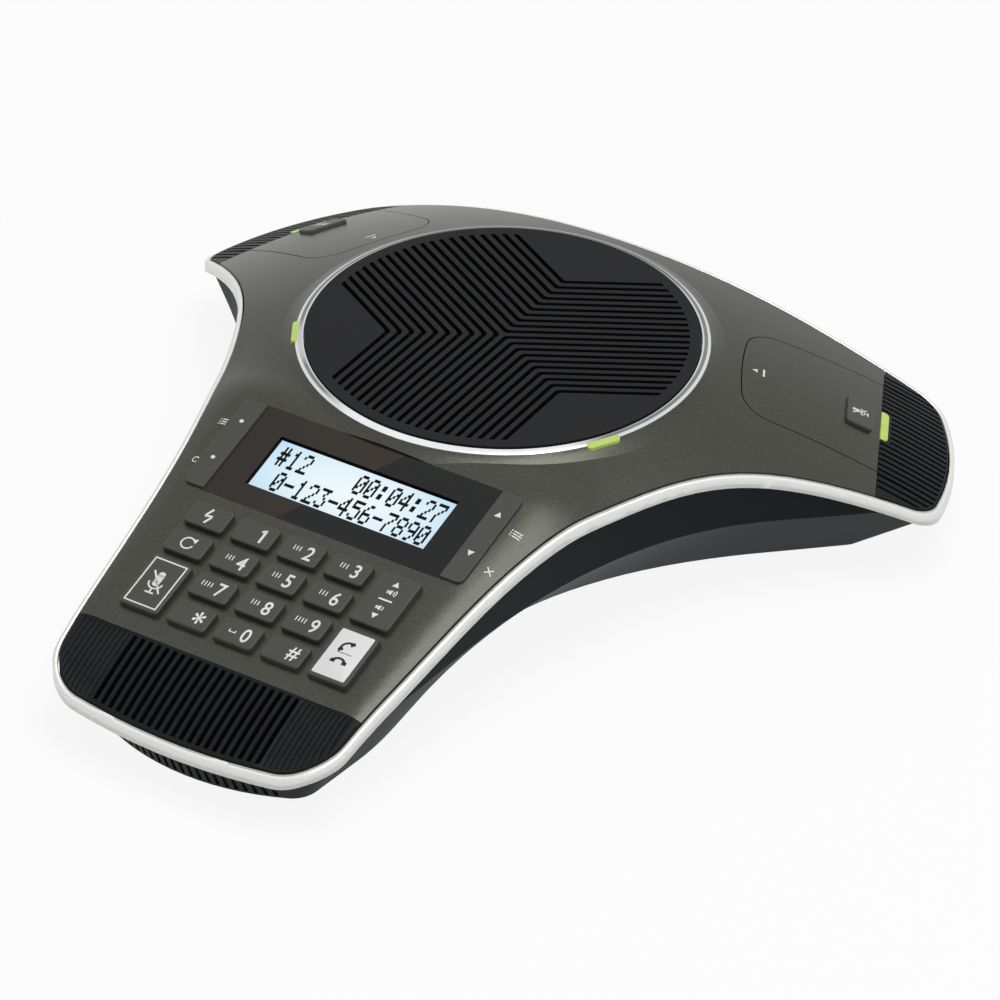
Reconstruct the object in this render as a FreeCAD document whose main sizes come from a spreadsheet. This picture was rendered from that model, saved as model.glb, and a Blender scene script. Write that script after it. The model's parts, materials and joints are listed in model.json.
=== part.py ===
# Conference phone: a three-armed table speakerphone with a round loudspeaker
# grille, a sloping keypad arm and two wireless microphone units that lift out of
# the other two arms.
# Free-form shapes are drawn round the loudspeaker's axis, with the keypad arm
# along -Y and the table at Z 0, and then moved back so that the origin lies under
# the middle of the whole phone. Lengths are millimetres and angles degrees.
import FreeCAD, Part
import math
import os
import Sketcher
from FreeCAD import Placement, Rotation, Vector

doc = FreeCAD.newDocument("conference_phone")

SIZES = [
    ("speaker_axis_y", 48.286, "speaker axis behind the middle of the phone"),
    # crown of the cover: a dome round the speaker, and the flat panel of the keypad arm
    ("seat_radius", 64.2, "outer radius of the chrome ring, where the dome starts"),
    ("seat_height", 57.0, "height of the dome at the chrome ring"),
    ("dome_slope", 0.296, "fall of the dome at the ring, per unit of radius"),
    ("dome_curve", 0.0022, "how fast the fall of the dome grows"),
    ("panel_reach", 111.6, "distance of the panel's reference line from the speaker axis"),
    ("panel_height", 43.6, "height of the panel on that line"),
    ("panel_tilt", 15.2, "slope of the keypad panel"),
    ("droop_reach", 148.0, "where the panel starts to droop towards the tip"),
    ("droop_rate", 0.00403, "how fast it droops"),
    ("shoulder_inner", 46.0, "half width of the flat of the panel"),
    ("shoulder_outer", 80.0, "half width where the panel has run out into the dome"),
    ("panel_blend_start", 20.0, "distance in front of the axis where the panel fades in"),
    ("panel_blend_end", 70.0, "distance where it is fully there"),
    # plan of the cover's edge
    ("front_reach", 182.5, "reach of the keypad arm"),
    ("front_edge_radius", 260.0, "bulge of the keypad arm's end"),
    ("front_corner", 17.0, "corner radius of the keypad arm"),
    ("front_side_reach", 142.6, "where the keypad arm's straight side starts"),
    ("front_side_half", 51.4, "half width of the keypad arm there"),
    ("front_taper", 6.2, "angle of that side to the arm's axis"),
    ("front_neck_reach", 98.0, "reach of the keypad arm's neck"),
    ("front_neck_half", 56.6, "half width of the neck"),
    ("front_waist", 83.3, "radius of the waist between keypad arm and microphone arm"),
    ("back_waist", 74.6, "radius of the waist at the back"),
    ("arm_angle", 26.6, "direction of the microphone arm above +X"),
    ("arm_neck_reach", 75.8, "reach of the microphone arm's neck"),
    ("arm_neck_half", 49.0, "half width of that neck"),
    ("arm_side_reach", 118.0, "where the microphone arm's straight side starts"),
    ("arm_side_half", 34.5, "half width of the microphone arm there"),
    ("arm_taper", 15.6, "angle of that side to the arm's axis"),
    ("arm_reach", 139.2, "reach of the microphone arm"),
    ("arm_edge_radius", 90.0, "bulge of the microphone arm's end"),
    ("arm_corner", 11.0, "corner radius of the microphone arm"),
    ("front_seam", 157.1, "reach of the seam between cover and front grille"),
    ("arm_seam", 117.6, "reach of the seam between cover and arm grille"),
    # casing walls and the silver rim
    ("wall", 2.2, "wall of the cover"),
    ("rim_gap", 0.5, "shadow gap between cover and rim"),
    ("rim_width", 1.5, "width of the rim"),
    ("rim_height", 3.9, "height of the rim and of the cover's skirt"),
    ("rim_drop", 0.2, "top of the rim below the cover's surface"),
    ("housing_proud", 1.2, "how far the lower housing stands outside the cover's edge"),
    ("housing_wall", 3.2, "wall of the lower housing"),
    ("floor_height", 2.0, "underside of the lower housing, above the table"),
    ("floor_wall", 2.4, "thickness of its floor"),
    ("crease_height", 28.5, "height at which the hull's upper insets are given"),
    ("ground_front", 7.0, "inset of the floor's edge at the keypad arm's end"),
    ("ground_front_side", 12.5, "inset of the floor's edge along the keypad arm"),
    ("ground_waist", 26.8, "inset of the floor's edge at the waists"),
    ("ground_arm_side", 17.5, "inset of the floor's edge along the microphone arms"),
    ("ground_arm", 24.0, "inset of the floor's edge at the microphone arms' ends"),
    ("belly_radius", 74.0, "bulge of the floor's edge at the keypad arm's end"),
    ("ground_corner", 9.0, "corner radius of the floor's edge at the keypad arm's end"),
    ("ground_arm_corner", 5.0, "corner radius of the floor's edge at the microphone arms' ends"),
    ("corner_growth", 12.0, "how much larger those corners are at crease height"),
    ("crease_front", -4.0, "inset at crease height at the keypad arm's end"),
    ("crease_front_side", -1.6, "inset at crease height along the keypad arm"),
    ("crease_waist", 1.2, "inset at crease height at the waists"),
    ("crease_arm_side", -2.5, "inset at crease height along the microphone arms"),
    ("crease_arm", -21.0, "inset at crease height at the microphone arms' ends"),
    ("belly_rib_pitch", 2.9, "pitch of the ribs on the keypad arm's end wall"),
    ("belly_rib_width", 1.2, "width of the grooves between those ribs"),
    ("belly_rib_depth", 0.9, "depth of those grooves"),
    # loudspeaker
    ("grille_radius", 61.4, "radius of the round grille"),
    ("grille_top", 60.0, "height of its top"),
    ("grille_thickness", 2.8, "its thickness"),
    ("slot_count", 9, "chevron slots in each of the three fields"),
    ("slot_pitch", 3.5, "distance between neighbouring slots"),
    ("slot_width", 1.6, "width of a slot"),
    ("slot_apex", 35.4, "distance of the outermost chevron's tip from the axis"),
    ("slot_field_radius", 57.7, "circle on which the slots end"),
    ("ring_clearance", 0.15, "gap between grille and chrome ring"),
    ("ring_ledge", 2.5, "width of the ring's ledge under the grille"),
    ("ring_sink", 0.8, "how deep the ring sits in the cover"),
    ("ring_crest", 59.5, "height of the ring's crest"),
    ("ring_face", 0.4, "width of the ring's flat crest"),
    ("ring_edge", 58.8, "height of the ring's outer edge"),
    ("collar_height", 58.6, "height of the cover's collar at the ring"),
    ("collar_bend_reach", 66.4, "reach of the pole that bends the collar's flank"),
    ("collar_bend_height", 56.5, "height of that pole"),
    ("collar_reach", 72.5, "where the flank has run out under the dome"),
    ("collar_foot", 54.0, "height of the flank there"),
    ("collar_root", 0.7, "how deep the collar is rooted below that"),
    ("deck_thickness", 2.2, "thickness of the speaker deck"),
    ("driver_radius", 38.5, "radius of the loudspeaker's frame"),
    ("driver_opening", 34.0, "radius of the opening in the deck"),
    ("driver_depth", 30.0, "depth of the loudspeaker's frame"),
    ("magnet_radius", 25.0, "radius of the magnet"),
    ("magnet_height", 12.0, "height of the magnet"),
    ("cone_depth", 13.0, "depth of the paper cone"),
    ("sheet_metal", 1.0, "thickness of the loudspeaker's frame"),
    ("paper", 0.8, "thickness of the cone"),
    ("cap_radius", 11.0, "radius of the cone's dust cap"),
    ("cap_rise", 3.0, "height of the dust cap"),
    ("surround_width", 5.0, "width of the cone's soft surround"),
    ("led_length", 11.2, "length of a ring light's lens"),
    ("led_reach", 65.3, "outer edge of a ring light's lens"),
    ("led_inner", 63.1, "inner edge of a ring light's lens"),
    ("led_top", 59.4, "height of the lens at its inner edge"),
    ("led_edge", 58.8, "height of the lens at its outer edge"),
    ("led_floor", 57.1, "height of the lens's underside"),
    ("led_corner", 1.2, "corner radius of that lens"),
    # keypad, measured in the plane of the panel
    ("column_pitch", 16.6, "distance between key columns"),
    ("row_pitch", 11.7, "distance between key rows"),
    ("first_row", 0.7, "first row below the panel's reference line"),
    ("key_width", 13.3, "width of a key"),
    ("key_length", 8.3, "length of a key"),
    ("key_rise", 1.9, "height of a key above the panel"),
    ("key_corner", 1.7, "corner radius of a key"),
    ("key_round", 0.6, "rounding of a key's top edge"),
    ("key_clearance", 0.3, "gap round a key in its opening"),
    ("key_flange", 0.9, "width and thickness of the flange under a key"),
    ("key_travel", 0.8, "travel of a key"),
    ("key_gap", 0.15, "gap between flange and cover"),
    ("rocker_gap", 0.5, "gap between a rocker's flange and cover"),
    ("dome_gap", 0.2, "gap left under a pressed key"),
    ("membrane_thickness", 1.0, "thickness of the rubber keypad sheet"),
    ("sheet_margin", 2.0, "how far the rubber sheet reaches past the outer keys"),
    ("sheet_extra", 0.6, "how far it reaches past the rows, towards the window"),
    ("board_thickness", 1.6, "thickness of the circuit boards"),
    ("board_half", 43.0, "half width of the main board"),
    ("board_front", 37.6, "front edge of the main board below the reference line"),
    ("board_back", 45.0, "back edge of the main board above the reference line"),
    ("window_half", 42.0, "half width of the display window"),
    ("window_top", 46.6, "upper edge of the window above the reference line"),
    ("window_bottom", 8.6, "lower edge of the window above the reference line"),
    ("window_thickness", 1.5, "thickness of the window"),
    ("window_ledge", 5.0, "ledge under the window"),
    ("glass_half", 31.7, "half width of the lit display"),
    ("glass_length", 20.5, "length of the lit display"),
    ("glass_centre", 27.0, "middle of the lit display above the reference line"),
    ("module_margin", 2.8, "frame round the lit display"),
    ("bar_width", 7.2, "width of the rocker bars beside the window"),
    ("bar_length", 36.4, "length of the rocker bars"),
    ("bar_rise", 0.9, "height of the rocker bars above the panel"),
    ("bar_gap", 0.3, "gap between bar and window"),
    ("bar_corner", 2.4, "outer corner radius of a rocker bar"),
    ("bar_drop", 1.0, "gap between a bar's flange and cover"),
    # front grille and arm grilles
    ("front_slot_count", 21, "open slots of the front grille"),
    ("front_slot_pitch", 2.86, "pitch of those slots"),
    ("front_slot_width", 1.5, "width of those slots"),
    ("front_slot_start", 0.9, "slots start this far past the seam"),
    ("front_slot_margin", 2.6, "slots end this far from the edge"),
    ("groove_count", 10, "grooves on each side of the front slots"),
    ("groove_pitch", 1.75, "pitch of those grooves"),
    ("groove_width", 0.6, "width of the grooves"),
    ("groove_depth", 0.8, "depth of the grooves"),
    ("groove_start", 0.6, "grooves start this far past the seam"),
    ("groove_margin", 0.8, "grooves end this far from the edge"),
    ("seam_gap", 0.15, "gap between the grilles and the covers"),
    ("arm_rib_pitch", 2.6, "pitch of the ribs on the arm grilles"),
    ("arm_rib_count", 24, "grooves across an arm"),
    ("arm_rib_gap", 1.1, "width of those grooves"),
    ("arm_rib_depth", 0.7, "depth of those grooves"),
    ("arm_rib_start", 0.2, "grooves start this far past the seam"),
    ("arm_rib_margin", 0.5, "grooves end this far from the arm's edge"),
    # microphone unit, drawn along its arm
    ("unit_start", 74.3, "inner end of the unit"),
    ("unit_half_inner", 22.5, "half width near the inner end"),
    ("unit_half_outer", 24.8, "half width at the arm's end"),
    ("unit_corner", 10.0, "corner radius of the inner end"),
    ("unit_end_bulge", 1.8, "bulge of the inner end"),
    ("unit_clearance", 0.35, "gap round the unit in its bay"),
    ("unit_wall", 2.0, "wall of the unit"),
    ("unit_skirt", 3.6, "height of the unit's top cover at its edge"),
    ("bay_inner_height", 30.0, "height of the bay's floor at its inner end"),
    ("bay_outer_height", 20.4, "height of the bay's floor at the arm's end"),
    ("bay_wall", 1.6, "wall of the bay tray"),
    ("mute_reach", 110.9, "distance of the mute key from the speaker axis"),
    ("mute_width", 13.5, "width of the mute key"),
    ("mute_length", 8.6, "length of the mute key"),
    ("mute_rise", 1.1, "height of the mute key"),
    ("lamp_width", 14.6, "width of the unit's light"),
    ("lamp_length", 2.7, "length of the unit's light"),
    ("lamp_rise", 0.3, "how far the light stands proud"),
    ("lamp_depth", 3.0, "depth of the light below the surface"),
    ("lamp_corner", 1.2, "corner radius of the light"),
    ("lamp_margin", 0.6, "grooves start this far from the light"),
    ("unit_board_half", 17.0, "half width of the unit's board"),
    ("unit_board_length", 34.0, "length of the unit's board"),
    ("cell_radius", 5.0, "radius of a rechargeable cell"),
    ("cell_length", 30.0, "length of a cell"),
    ("contact_width", 4.0, "width of a charging contact"),
    ("contact_spread", 14.0, "distance between the two contacts"),
    ("contact_reach", 84.0, "distance of the contacts from the speaker axis"),
    ("contact_gap", 0.3, "gap between the unit's contact and the pin"),
    ("contact_sink", 0.6, "how deep the contacts lie in the unit's floor"),
    ("pin_radius", 1.2, "radius of a charging pin"),
    ("cell_gap", 3.0, "gap between the cells and the unit's inner wall"),
    # inside and underneath
    ("post_radius", 2.7, "radius of the cover's screw posts"),
    ("post_ring", 53.0, "screw posts round the speaker"),
    ("front_post", 154.1, "screw post of the keypad arm"),
    ("ring_split", 44.0, "height where the posts round the speaker part"),
    ("ring_seat", 36.0, "height of the screw heads' seat in those posts"),
    ("front_split", 16.0, "height where the keypad arm's post parts"),
    ("front_seat", 4.5, "height of the screw head's seat in that post"),
    ("screw_radius", 1.4, "radius of a screw's shank"),
    ("screw_head", 2.3, "radius of a screw's head"),
    ("head_height", 1.8, "height of a screw's head"),
    ("screw_grip", 7.5, "how far a screw goes into the cover's post"),
    ("screw_slack", 0.3, "gap round a screw's head"),
    ("screw_short", 0.5, "how far a screw ends short of its hole"),
    ("post_wall", 1.3, "extra radius of the housing's posts round the screws"),
    ("board_post_radius", 2.6, "radius of the posts under the main board"),
    ("board_post_inset", 5.0, "distance of those posts from the board's edges"),
    ("mic_radius", 4.9, "radius of the console's own microphone"),
    ("mic_height", 3.2, "height of that microphone"),
    ("mic_reach", 9.0, "distance of that microphone past the seam"),
    ("mic_lip", 0.5, "how much wider its post is"),
    ("mic_seat_height", 18.8, "height of the post under the console's own microphone"),
    ("foot_radius", 7.0, "radius of a rubber foot"),
    ("foot_sink", 0.5, "how deep a foot sits in the floor"),
    ("front_foot_x", 23.0, "distance of the front feet from the middle"),
    ("front_foot_reach", 150.0, "reach of the front feet"),
    ("arm_foot_reach", 93.0, "reach of the feet under the microphone arms"),
    ("jack_spread", 12.0, "distance of each socket from the middle"),
    ("jack_height", 38.5, "height of the sockets"),
    ("jack_depth", 13.0, "depth of the sockets"),
    ("jack_inset", 0.6, "how far the sockets lie inside the wall"),
    ("line_width", 14.0, "width of the line socket's body"),
    ("line_tall", 12.5, "height of the line socket's body"),
    ("line_mouth_width", 9.8, "width of the line socket's mouth"),
    ("line_mouth_tall", 6.8, "height of the line socket's mouth"),
    ("line_mouth_depth", 11.0, "depth of the line socket"),
    ("power_side", 10.0, "width and height of the power socket's body"),
    ("power_bore", 3.2, "radius of the power socket's bore"),
    ("power_pin", 1.0, "radius of its centre pin"),
    ("power_bore_depth", 9.5, "depth of the power socket's bore"),
    ("power_pin_sink", 1.2, "how far the pin stays inside the bore"),
    ("ballast_width", 62.0, "width of the ballast plate"),
    ("ballast_length", 44.0, "length of the ballast plate"),
    ("ballast_thickness", 3.0, "thickness of the ballast plate"),
]

sheet = doc.addObject("Spreadsheet::Sheet", "sizes")
for row, (alias, value, meaning) in enumerate(SIZES, start=1):
    sheet.set(f"A{row}", meaning)
    sheet.set(f"B{row}", str(value))
    sheet.setAlias(f"B{row}", alias)
doc.recompute()

nodes = []


def size(alias):
    return float(sheet.get(alias))


def keep(item, label):
    """Name a finished sub-part, so that it is checked and written."""
    item.Label = label
    nodes.append(item)
    return item


def move_back(item, place=None):
    """Set a finished sub-part beside the speaker axis at its real place."""
    item.Placement = Placement(Vector(0, size("speaker_axis_y"), 0), Rotation()) * (place or Placement())
    return item


def free_form(label, shape, place=None):
    """A sub-part whose shape comes from surfaces that no feature offers."""
    item = doc.addObject("Part::Feature", label)
    item.Shape = shape
    move_back(item, (place or Placement()) * shape.Placement)
    return keep(item, label)


# The crown of the cover
TILT = math.radians(size("panel_tilt"))


def dome_height(radius):
    out = radius - size("seat_radius")
    return size("seat_height") - size("dome_slope") * out - size("dome_curve") * out * out


def fade(value, start, end):
    """Rise smoothly from 0 at start to 1 at end."""
    share = min(max((value - start) / (end - start), 0.0), 1.0)
    return share * share * (3 - 2 * share)


def panel_plane(reach):
    return size("panel_height") + (size("panel_reach") - reach) * math.tan(TILT)


def crown_height(x, y):
    """Height of the cover over a point of the plan."""
    reach = -y
    dome = dome_height(max(math.hypot(x, y), size("seat_radius") / 3))
    droop = size("droop_rate") * max(reach - size("droop_reach"), 0) ** 2
    panel = min(panel_plane(reach) - droop, size("seat_height"))
    across = 1 - fade(abs(x), size("shoulder_inner"), size("shoulder_outer"))
    share = across * fade(reach, size("panel_blend_start"), size("panel_blend_end"))
    return share * panel + (1 - share) * dome


def crown_face():
    """One smooth face through the crown's heights on a square grid."""
    step = size("front_reach") / 18
    x_count = 2 * math.ceil((size("arm_reach") + 25) / step) + 1
    x_start = -step * (x_count // 2)
    y_start = -size("front_reach") - 4 * step
    y_count = math.ceil((size("arm_reach") - y_start) / step) + 1
    heights = [
        [crown_height(x_start + i * step, y_start + j * step) for j in range(y_count)] for i in range(x_count)
    ]
    surface = Part.BSplineSurface()
    surface.interpolate(heights, x_start, step, y_start, step)
    return surface.toShape()


CROWN = crown_face()


def layer(drop, depth):
    """The solid between the crown lowered by drop and by drop + depth."""
    face = CROWN.copy()
    face.translate(Vector(0, 0, -drop))
    return face.extrude(Vector(0, 0, -depth))


def dome_layer(drop, depth):
    """The same layer as a body of revolution, for the microphone arms."""
    inner = size("unit_start") - 8
    outer = size("arm_reach") + 10

    def ends(shift):
        middle = (inner + outer) / 2
        top = [Vector(r, 0, dome_height(r) - shift) for r in (inner, middle, outer)]
        rise = top[0].z + top[2].z
        curve = Part.BezierCurve()
        curve.setPoles([top[0], Vector(middle, 0, 2 * top[1].z - rise / 2), top[2]])
        return curve.toShape(), top[0], top[2]

    upper, upper_in, upper_out = ends(drop)
    lower, lower_in, lower_out = ends(drop + depth)
    wire = Part.Wire([upper, Part.makeLine(upper_out, lower_out), lower, Part.makeLine(lower_in, upper_in)])
    half_turn = 40
    section = Part.Face(wire)
    section.rotate(Vector(), Vector(0, 0, 1), -half_turn)
    return section.revolve(Vector(), Vector(0, 0, 1), 2 * half_turn)


# The plan
def turned(a, b, angle):
    """A point a along and b to the left of a direction in the plan."""
    spin = math.radians(angle)
    return Vector(a * math.cos(spin) - b * math.sin(spin), a * math.sin(spin) + b * math.cos(spin), 0)


def arm_end(angle, reach, bulge, corner, side_reach, side_half, taper, tip_in, side_in):
    """Points round the end of an arm, for its edge moved in by tip_in and side_in."""
    slope = math.radians(taper)
    inward = (-math.sin(slope), -math.cos(slope))
    side = (side_reach + inward[0] * side_in, side_half + inward[1] * side_in)
    reach = reach - tip_in
    middle_a = reach - bulge
    start = (side[0] + inward[0] * corner - middle_a, side[1] + inward[1] * corner)
    along = start[0] * math.cos(slope) - start[1] * math.sin(slope)
    far = start[0] ** 2 + start[1] ** 2 - (bulge - corner) ** 2
    run = -along + math.sqrt(along * along - far)
    centre = (middle_a + start[0] + run * math.cos(slope), start[1] - run * math.sin(slope))
    side_end = (centre[0] - inward[0] * corner, centre[1] - inward[1] * corner)
    lean = math.atan2(centre[1], centre[0] - middle_a)
    edge_end = (middle_a + bulge * math.cos(lean), bulge * math.sin(lean))
    turn = (lean + math.atan2(-inward[1], -inward[0])) / 2
    middle = (centre[0] + corner * math.cos(turn), centre[1] + corner * math.sin(turn))
    left = [side, side_end, middle, edge_end]
    points = [(a, -b) for a, b in left] + [(reach, 0)] + left[::-1]
    return [turned(a, b, angle) for a, b in points]


def arm_edges(points):
    """Straight sides, corner arcs and bulged end through the points of an arm's end."""
    side, corner, middle, edge, tip = points[:5]
    edge_2, middle_2, corner_2, side_2 = points[5:]
    return [
        Part.makeLine(side, corner),
        Part.Arc(corner, middle, edge).toShape(),
        Part.Arc(edge, tip, edge_2).toShape(),
        Part.Arc(edge_2, middle_2, corner_2).toShape(),
        Part.makeLine(corner_2, side_2),
    ]


def waist_curve(points, start, end):
    curve = Part.BSplineCurve()
    curve.interpolate(Points=points, InitialTangent=start, FinalTangent=end)
    return curve


def inset_waist(curve, start, end, insets):
    """The waist moved in, by one inset at each end and one in the middle."""
    moved = []
    count = 8
    for i in range(count + 1):
        at = curve.FirstParameter + (curve.LastParameter - curve.FirstParameter) * i / count
        run = curve.tangent(at)[0]
        share = i / count * 2
        first, second = insets[:2] if share <= 1 else insets[1:]
        blend = share if share <= 1 else share - 1
        inset = first + (second - first) * blend * blend * (3 - 2 * blend)
        moved.append(curve.value(at) + Vector(-run.y, run.x, 0) * inset)
    return waist_curve(moved, start, end).toShape()


def heading(angle):
    return Vector(math.cos(math.radians(angle)), math.sin(math.radians(angle)), 0)


def outline(front, front_side, waist, arm_side, arm, back, front_bulge, front_corner, arm_corner):
    """The closed edge of the plan, moved in by the given amounts in its zones."""
    key_arm = arm_end(-90, size("front_reach"), front_bulge, front_corner, size("front_side_reach"),
                      size("front_side_half"), size("front_taper"), front, front_side)
    neck = (size("arm_neck_reach"), size("arm_neck_half"))
    # a shorter arm's straight sides start nearer to the middle
    back_by = max(arm, 0) * 0.6
    side = (size("arm_side_reach") - back_by,
            size("arm_side_half") + back_by * math.tan(math.radians(size("arm_taper"))))
    right_arm, left_arm = [
        arm_end(angle, size("arm_reach"), size("arm_edge_radius") - arm, arm_corner,
                side[0], side[1], size("arm_taper"), arm, arm_side)
        for angle in (size("arm_angle"), 180 - size("arm_angle"))
    ]
    leave_front = heading(90 - size("front_taper"))
    reach_arm = heading(size("arm_angle") + size("arm_taper"))
    right_points = [
        turned(size("front_side_reach"), size("front_side_half"), -90),
        turned(size("front_neck_reach"), size("front_neck_half"), -90),
        heading(-30) * size("front_waist"),
        turned(neck[0], -neck[1], size("arm_angle")),
        turned(side[0], -side[1], size("arm_angle")),
    ]
    right = inset_waist(waist_curve(right_points, leave_front, reach_arm), leave_front, reach_arm,
                        (front_side, waist, arm_side))
    leave_arm = heading(180 + size("arm_angle") - size("arm_taper"))
    reach_left = Vector(leave_arm.x, -leave_arm.y, 0)
    back_points = [turned(side[0], side[1], size("arm_angle")), turned(neck[0], neck[1], size("arm_angle"))]
    back_points.append(Vector(0, size("back_waist"), 0))
    back_points += [Vector(-point.x, point.y, 0) for point in back_points[1::-1]]
    rear = inset_waist(waist_curve(back_points, leave_arm, reach_left), leave_arm, reach_left,
                       (arm_side, back, arm_side))
    left = right.mirror(Vector(), Vector(1, 0, 0))
    edges = arm_edges(key_arm) + [right] + arm_edges(right_arm) + [rear] + arm_edges(left_arm) + [left]
    return Part.Wire(Part.__sortEdges__(edges))


def even_outline(inset):
    return outline(inset, inset, inset, inset, inset, inset, size("front_edge_radius") - inset,
                   size("front_corner") - inset, size("arm_corner") - inset)


def column(wire, low, high):
    """A wire of the plan as an upright solid from one height to another."""
    face = Part.Face(wire)
    face.translate(Vector(0, 0, low))
    return face.extrude(Vector(0, 0, high - low))


HEAD_ROOM = size("grille_top") + 10


# Lower housing: upright wall under the rim, then a hull that runs in to the floor
GROUND = [size(name) for name in
          ("ground_front", "ground_front_side", "ground_waist", "ground_arm_side", "ground_arm", "ground_waist")]
CREASE = [size(name) for name in
          ("crease_front", "crease_front_side", "crease_waist", "crease_arm_side", "crease_arm", "crease_waist")]


def tub(inset, low):
    """The housing's solid, its walls moved in by inset, from height low up to the head room."""
    depth = size("crease_height") - size("floor_height")
    outside = -size("housing_proud") - 0.8
    tops = [(g - outside) * depth / (g - c) for g, c in zip(GROUND, CREASE)]
    hull_top = size("floor_height") + max(tops)
    wires = []
    for height in (low, hull_top):
        share = (height - size("floor_height")) / depth
        insets = [g + (c - g) * share + inset for g, c in zip(GROUND, CREASE)]
        insets[4] += inset * 0.8
        bulge = size("belly_radius") + (size("front_edge_radius") - size("belly_radius")) * share
        corners = [size(name) + size("corner_growth") * share for name in ("ground_corner", "ground_arm_corner")]
        wire = outline(*insets, bulge, *corners)
        wire.translate(Vector(0, 0, height))
        wires.append(wire)
    hull = Part.makeLoft(wires, True, True)
    walls = even_outline(inset - size("housing_proud"))
    lower = column(walls, low, hull_top).common(hull)
    return lower.fuse(column(walls, hull_top, HEAD_ROOM)).removeSplitter()


housing_block = tub(0, size("floor_height")).common(layer(size("rim_height"), HEAD_ROOM))
cavity = tub(size("housing_wall"), size("floor_height") + size("floor_wall"))


def halfspace(reach, beyond):
    """Everything beyond a reach of the keypad arm, or everything short of it."""
    width = 4 * size("arm_reach")
    length = 2 * size("front_reach")
    start = -reach - length if beyond else -reach
    return Part.makeBox(width, length, 3 * HEAD_ROOM, Vector(-width / 2, start, -HEAD_ROOM))


def rod(radius, low, high, x=0, y=0):
    return Part.makeCylinder(radius, high - low, Vector(x, y, low))


def placed(shape, place):
    moved = shape.copy()
    moved.Placement = place * moved.Placement
    return moved


# Microphone unit and its bay, drawn along +X and turned to each arm
ARMS = {
    "right": Placement(Vector(), Rotation(Vector(0, 0, 1), size("arm_angle"))),
    "left": Placement(Vector(), Rotation(Vector(0, 0, 1), 180 - size("arm_angle"))),
}
UNIT_FAR = size("arm_reach") + 12


def arm_plan(inset):
    """The end of an arm as a closed wire, cut off square behind the unit."""
    points = arm_end(0, size("arm_reach"), size("arm_edge_radius") - inset, size("arm_corner") - inset,
                     size("arm_side_reach"), size("arm_side_half"), size("arm_taper"), inset, inset)
    start, end = points[0], points[-1]
    near = size("unit_start") - 20
    widest = end.y + (end.x - near) * math.tan(math.radians(size("arm_taper")))
    sides = [end, Vector(near, widest, 0), Vector(near, -widest, 0), start]
    return Part.Wire(Part.__sortEdges__(arm_edges(points) + Part.makePolygon(sides).Edges))


def unit_plan(grow):
    """The unit's plan, grown or shrunk, open-ended past the arm's tip."""
    widen = (size("unit_half_outer") - size("unit_half_inner")) / (size("arm_reach") - size("unit_start"))
    half = size("unit_half_inner")
    bulge = (half * half + size("unit_end_bulge") ** 2) / (2 * size("unit_end_bulge"))
    side_start = size("unit_start") + size("unit_corner") + 2
    points = arm_end(180, -size("unit_start"), bulge + grow, size("unit_corner") + grow, -side_start, half,
                     math.degrees(math.atan(widen)), -grow, -grow)
    start, end = points[0], points[-1]
    run = UNIT_FAR - start.x
    corner = [Vector(UNIT_FAR, p.y + math.copysign(run * widen, p.y), 0) for p in (end, start)]
    return Part.Wire(Part.__sortEdges__(arm_edges(points) + Part.makePolygon([end] + corner + [start]).Edges))


def over_bay(rise):
    """Everything above the sloping floor of the bay, raised by rise."""
    fall = (size("bay_inner_height") - size("bay_outer_height")) / (size("arm_reach") - size("unit_start"))
    near = size("unit_start") - 20
    ends = [(a, size("bay_inner_height") - (a - size("unit_start")) * fall + rise) for a in (near, UNIT_FAR)]
    corners = [Vector(a, -60, z) for a, z in ends]
    corners += [Vector(UNIT_FAR, -60, HEAD_ROOM), Vector(near, -60, HEAD_ROOM), corners[0]]
    return Part.Face(Part.makePolygon(corners)).extrude(Vector(0, 120, 0))


def past_seam(shift=0):
    """Everything past the seam of the arm."""
    return Part.makeBox(80, 160, 3 * HEAD_ROOM, Vector(size("arm_seam") + shift, -80, -HEAD_ROOM))


SEAM_GAP = size("seam_gap")
unit_prism = column(unit_plan(0), 0, HEAD_ROOM).common(column(arm_plan(0), 0, HEAD_ROOM))
unit_inner = column(unit_plan(-size("unit_wall")), 0, HEAD_ROOM)
unit_inner = unit_inner.common(column(arm_plan(size("unit_wall")), 0, HEAD_ROOM))
unit_space = unit_prism.common(over_bay(size("unit_clearance")))
unit_shell = unit_space.common(dome_layer(0, size("unit_skirt")))
unit_shell = unit_shell.cut(unit_inner.common(dome_layer(size("unit_wall"), HEAD_ROOM)))
bay = column(unit_plan(size("unit_clearance")), 0, HEAD_ROOM).common(over_bay(0))
bay_skirt = column(unit_plan(size("unit_clearance") + size("wall")), 0, HEAD_ROOM)
bay_outside = column(unit_plan(size("unit_clearance") + size("bay_wall")), 0, HEAD_ROOM)

# Lower housing, with its posts, wall openings and pockets
POSTS = [(heading(angle) * size("post_ring"), size("ring_split"), size("ring_seat")) for angle in (-30, 90, 210)]
POSTS.append((Vector(0, -size("front_post"), 0), size("front_split"), size("front_seat")))
PANEL = Placement(Vector(0, -size("panel_reach"), size("panel_height")),
                  Rotation(Vector(1, 0, 0), size("panel_tilt")))
SHEET_TOP = ("-(sizes.wall * cos(sizes.panel_tilt * 1deg) + sizes.key_gap + sizes.key_flange"
             " + sizes.key_travel + sizes.dome_gap)")
BOARD_TOP = f"{SHEET_TOP} - sizes.membrane_thickness"
skin = size("wall") * math.cos(TILT)
key_bottom = -(skin + size("key_gap") + size("key_flange"))
sheet_top = key_bottom - size("key_travel") - size("dome_gap")
board_top = sheet_top - size("membrane_thickness")
board_under = board_top - size("board_thickness")
from_edge = size("board_post_inset")
BOARD_POSTS = [(side * (size("board_half") - from_edge), along)
               for side in (-1, 1) for along in (size("board_back") - from_edge, from_edge - size("board_front"))]


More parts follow.
